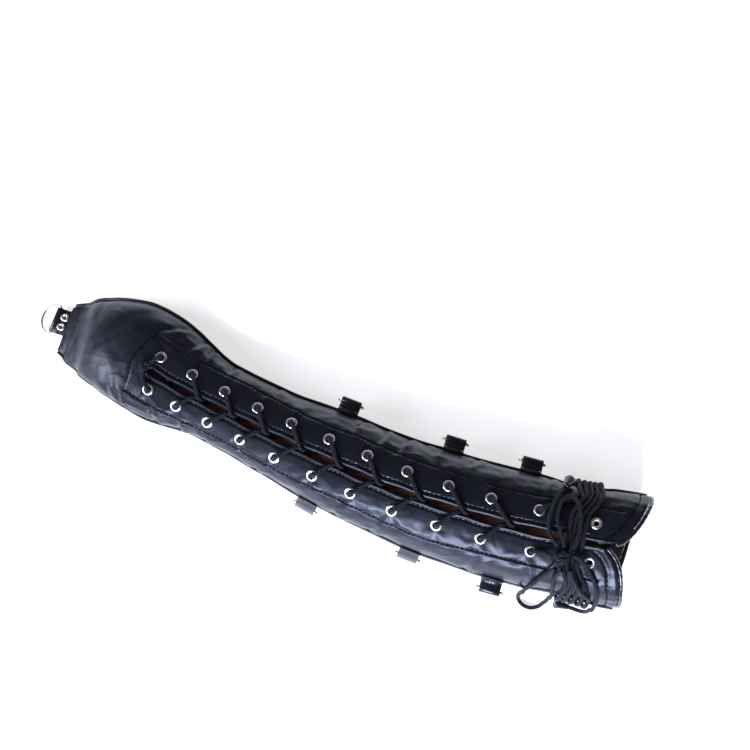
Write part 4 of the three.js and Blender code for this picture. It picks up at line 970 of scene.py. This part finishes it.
# ------------------------------------------------------------------ tabs and rings
def strap(path, width, thick):
    """A flat strap swept along a path in (out, up), centred on the extrusion axis; rounded long edges."""
    p = np.array(path, float)
    p3 = catmull([[a, b, 0] for a, b in p], 0.5)[:, :2]
    t = np.gradient(p3, axis=0)
    t /= np.linalg.norm(t, axis=1)[:, None]
    n = np.stack([-t[:, 1], t[:, 0]], -1)
    hw, ht, e = width / 2, thick / 2, 0.45
    sec = [(-hw, -ht + e), (-hw + e, -ht), (hw - e, -ht), (hw, -ht + e), (hw, ht - e), (hw - e, ht), (-hw + e, ht), (-hw, ht - e)]
    V = np.array([[[p3[i, 0] + n[i, 0] * b, p3[i, 1] + n[i, 1] * b, a] for a, b in sec] for i in range(len(p3))])
    m = len(sec)
    F, mi = [], []
    for i in range(len(p3) - 1):
        for k in range(m):
            F.append([i * m + k, i * m + (k + 1) % m, (i + 1) * m + (k + 1) % m, (i + 1) * m + k])
            mi.append(0 if k in (1, 5) else 1)
    F.append(list(range(m))[::-1])
    F.append([(len(p3) - 1) * m + k for k in range(m)])
    mi += [1, 1]
    return V.reshape(-1, 3), F, mi


def fix_normals(o):
    import bmesh
    b = bmesh.new()
    b.from_mesh(o.data)
    bmesh.ops.recalc_face_normals(b, faces=b.faces)
    b.to_mesh(o.data)
    b.free()


def arc(cx, r, a0, a1, n):
    return [(cx + r * math.cos(math.radians(q)), r * math.sin(math.radians(q))) for q in np.linspace(a0, a1, n)]


def ring_curve(half, depth, c=3.0):
    p = [(u, 0.0) for u in np.linspace(-half + c, half - c, 9)]
    p += [(half - c + c * math.sin(q), -c + c * math.cos(q)) for q in np.radians(np.linspace(12, 84, 7))]
    p += [(half * math.cos(q), -c - (depth - c) * math.sin(q)) for q in np.radians(np.linspace(6, 174, 36))]
    p += [(-(half - c + c * math.sin(q)), -c + c * math.cos(q)) for q in np.radians(np.linspace(84, 12, 7))]
    return p


def add_ring(name, body, eye, along, down, half, depth):
    pts = np.array([eye + along * u - down * v for u, v in ring_curve(half, depth)])
    V, F, U = tube_data(pts, 1.5, 18, closed=True)
    o = make(name, V, F, [NICKEL], U)
    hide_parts(name)
    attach(o, body)


UP = np.array([0, 0, 1.0])
LEG = [(1.0, 8.0), (1.15, 6.6), (1.9, 4.6), (3.6, 3.1), (5.6, 2.35), (7.6, 2.55)]
for tag, x, s, droop in SIDE_TABS:
    a, b = on_psi(x - 9.0, 90.0, float(s), 0), on_psi(x + 9.0, 90.0, float(s), 0)
    along = b - a
    along[2] = 0
    along = unit(along)
    out = np.array([-along[1], along[0], 0]) * s
    seam = on_psi(float(x), 90.0, float(s), 0) + out * (0.55 + (0.11 * float(fLean(x)) if s < 0 else 0))
    ext = np.cross(out, UP)
    path = LEG + arc(11.0, 2.9, 118, -118, 17) + [(p, -q) for p, q in LEG[::-1]]
    if droop:
        path = [(0.9, 8.0), (1.2, 6.4), (2.4, 4.6), (4.4, 2.4), (6.6, -0.6), (8.0, -3.4)] + [(p + DROOP_EYE[0], q + DROOP_EYE[1]) for p, q in arc(0.0, 2.9, 30, -150, 13)] + [(2.5, -7.5), (1.0, -8.4)]
    V, F, mi = strap(path, 19.0, 1.55)
    o = make(f"tab_{tag}", placed(V, seam, out, UP, ext), F, [STRAP, EDGE])
    o.data.polygons.foreach_set("material_index", mi)
    fix_normals(o)
    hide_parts(f"tab_{tag}")
    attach(o, "sleeve")
    lines = []
    for px, pz in (((2.3, 5.6), (5.2, 2.4)) if droop else ((4.6, 3.55), (8.2, 3.45))):
        p = np.array([seam + out * px + UP * pz + ext * q for q in np.linspace(-8.2, 8.2, 12)])
        lines.append((p, np.tile(UP, (12, 1))))
    stitches(f"stitching_tab_{tag}", lines, pitch=3.2, long=2.3, r=0.28)
    eye = seam + (out * DROOP_EYE[0] + UP * DROOP_EYE[1] if droop else out * 11.0)
    add_ring(f"d_ring_{tag}", f"ring_{tag}", eye, along, -UP, 12.0, 18.0)

tip_far, tip_near = on_psi(-291.4, 90.0, 1.0, 0), on_psi(X_TIP, 90.0, -1.0, 0)
t_along = tip_far - tip_near
t_along[2] = 0
t_along = unit(t_along)
t_out = np.array([-t_along[1], t_along[0], 0])
tip_mid = (tip_far + tip_near) / 2 - 0.1 * t_out
tip_mid[2] = 5.35
TAB_SHIFT, RIVET_OUT = 4.6, 4.35
mid = tip_mid + TAB_SHIFT * t_along
ext = np.cross(t_out, UP)
path = [(-1.5, 1.05), (2, 1.05), (5, 1.05), (7.4, 1.2), (9.0, 1.9)] + arc(11.5, 2.9, 128, -128, 17) + [(9.0, -1.9), (7.4, -1.2), (5, -1.05), (2, -1.05), (-1.5, -1.05)]
V, F, mi = strap(path, 25.0, 1.5)
o = make("tab_end", placed(V, mid, t_out, UP, ext), F, [STRAP, EDGE])
o.data.polygons.foreach_set("material_index", mi)
fix_normals(o)
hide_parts("tab_end")
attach(o, "sleeve")
lines = []
for e in (-11.2, 11.2):
    p = np.array([mid + t_out * q + UP * 1.85 + ext * e for q in np.linspace(0.5, 8.0, 9)])
    lines.append((p, np.tile(UP, (9, 1))))
p = np.array([mid + t_out * 0.9 + UP * 1.85 + ext * e for e in np.linspace(-10.8, 10.8, 12)])
lines.append((p, np.tile(UP, (12, 1))))
stitches("stitching_tab_end", lines, pitch=3.4, long=2.5, r=0.28)
droop = math.asin((5.35 - 1.5) / 16)
add_ring("d_ring_end", "ring_end", mid + t_out * 11.5, t_along, t_out * math.cos(droop) - UP * math.sin(droop), 14.5, 16.0)

RV, RF = lathe_data([(0, -3.3), (3.0, -3.3), (3.4, -2.9), (3.4, -2.05), (1.5, -2.05), (1.5, 2.0), (3.95, 2.0), (4.08, 2.35), (3.95, 2.75), (3.6, 3.1), (3.1, 3.32), (2.5, 3.36), (2.0, 3.2), (1.7, 2.85), (1.5, 2.35), (0.8, 2.2), (0, 2.2)], 40)
for tag, dy in (("far", 4.85), ("near", -4.85)):
    c = tip_mid + t_out * RIVET_OUT + t_along * (TAB_SHIFT + dy)
    o = make(f"rivet_end_{tag}", RV + c, RF, [NICKEL, EDGE])
    for p in o.data.polygons:
        q = p.center * 1000
        if math.hypot(q[0] - c[0], q[1] - c[1]) < 1.55 and q[2] > c[2] + 2.05:
            p.material_index = 1
    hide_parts(f"rivet_end_{tag}")
    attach(o, "sleeve")

# ------------------------------------------------------------------ stage and light
me = bpy.data.meshes.new("floor")
me.from_pydata([(-6, -6, 0), (6, -6, 0), (6, 6, 0), (-6, 6, 0)], [], [(0, 1, 2, 3)])
floor = bpy.data.objects.new("floor", me)
bpy.context.scene.collection.objects.link(floor)
floor.location.z = -0.0004
fm = plain("floor_white", (0.9, 0.9, 0.905), 0.85, **{"Emission Color": (1.0, 1.0, 1.0, 1), "Emission Strength": 0.66})
me.materials.append(fm)

world = bpy.data.worlds.new("world")
bpy.context.scene.world = world
world.use_nodes = True
world.node_tree.nodes["Background"].inputs["Color"].default_value = (0.93, 0.95, 1.0, 1)
world.node_tree.nodes["Background"].inputs["Strength"].default_value = 0.12


def area(name, loc, aim, size, power, col=(1, 1, 1)):
    l = bpy.data.lights.new(name, "AREA")
    l.shape, l.size, l.size_y, l.energy, l.color = "RECTANGLE", size[0], size[1], power, col
    o = bpy.data.objects.new(name, l)
    bpy.context.scene.collection.objects.link(o)
    z = unit(np.array(loc, float) - np.array(aim, float))
    x = unit(np.cross([0, 1, 0.001], z))
    y = np.cross(z, x)
    o.matrix_world = Matrix([[x[0], y[0], z[0], loc[0]], [x[1], y[1], z[1], loc[1]], [x[2], y[2], z[2], loc[2]], [0, 0, 0, 1]])


area("key", (0.15, -1.35, 1.0), (0, 0, 0), (1.2, 0.5), 72, (0.70, 0.78, 1.0))
area("left", (-1.42, -0.58, 0.82), (-0.15, 0, 0), (0.7, 1.0), 29, (0.80, 0.85, 1.0))
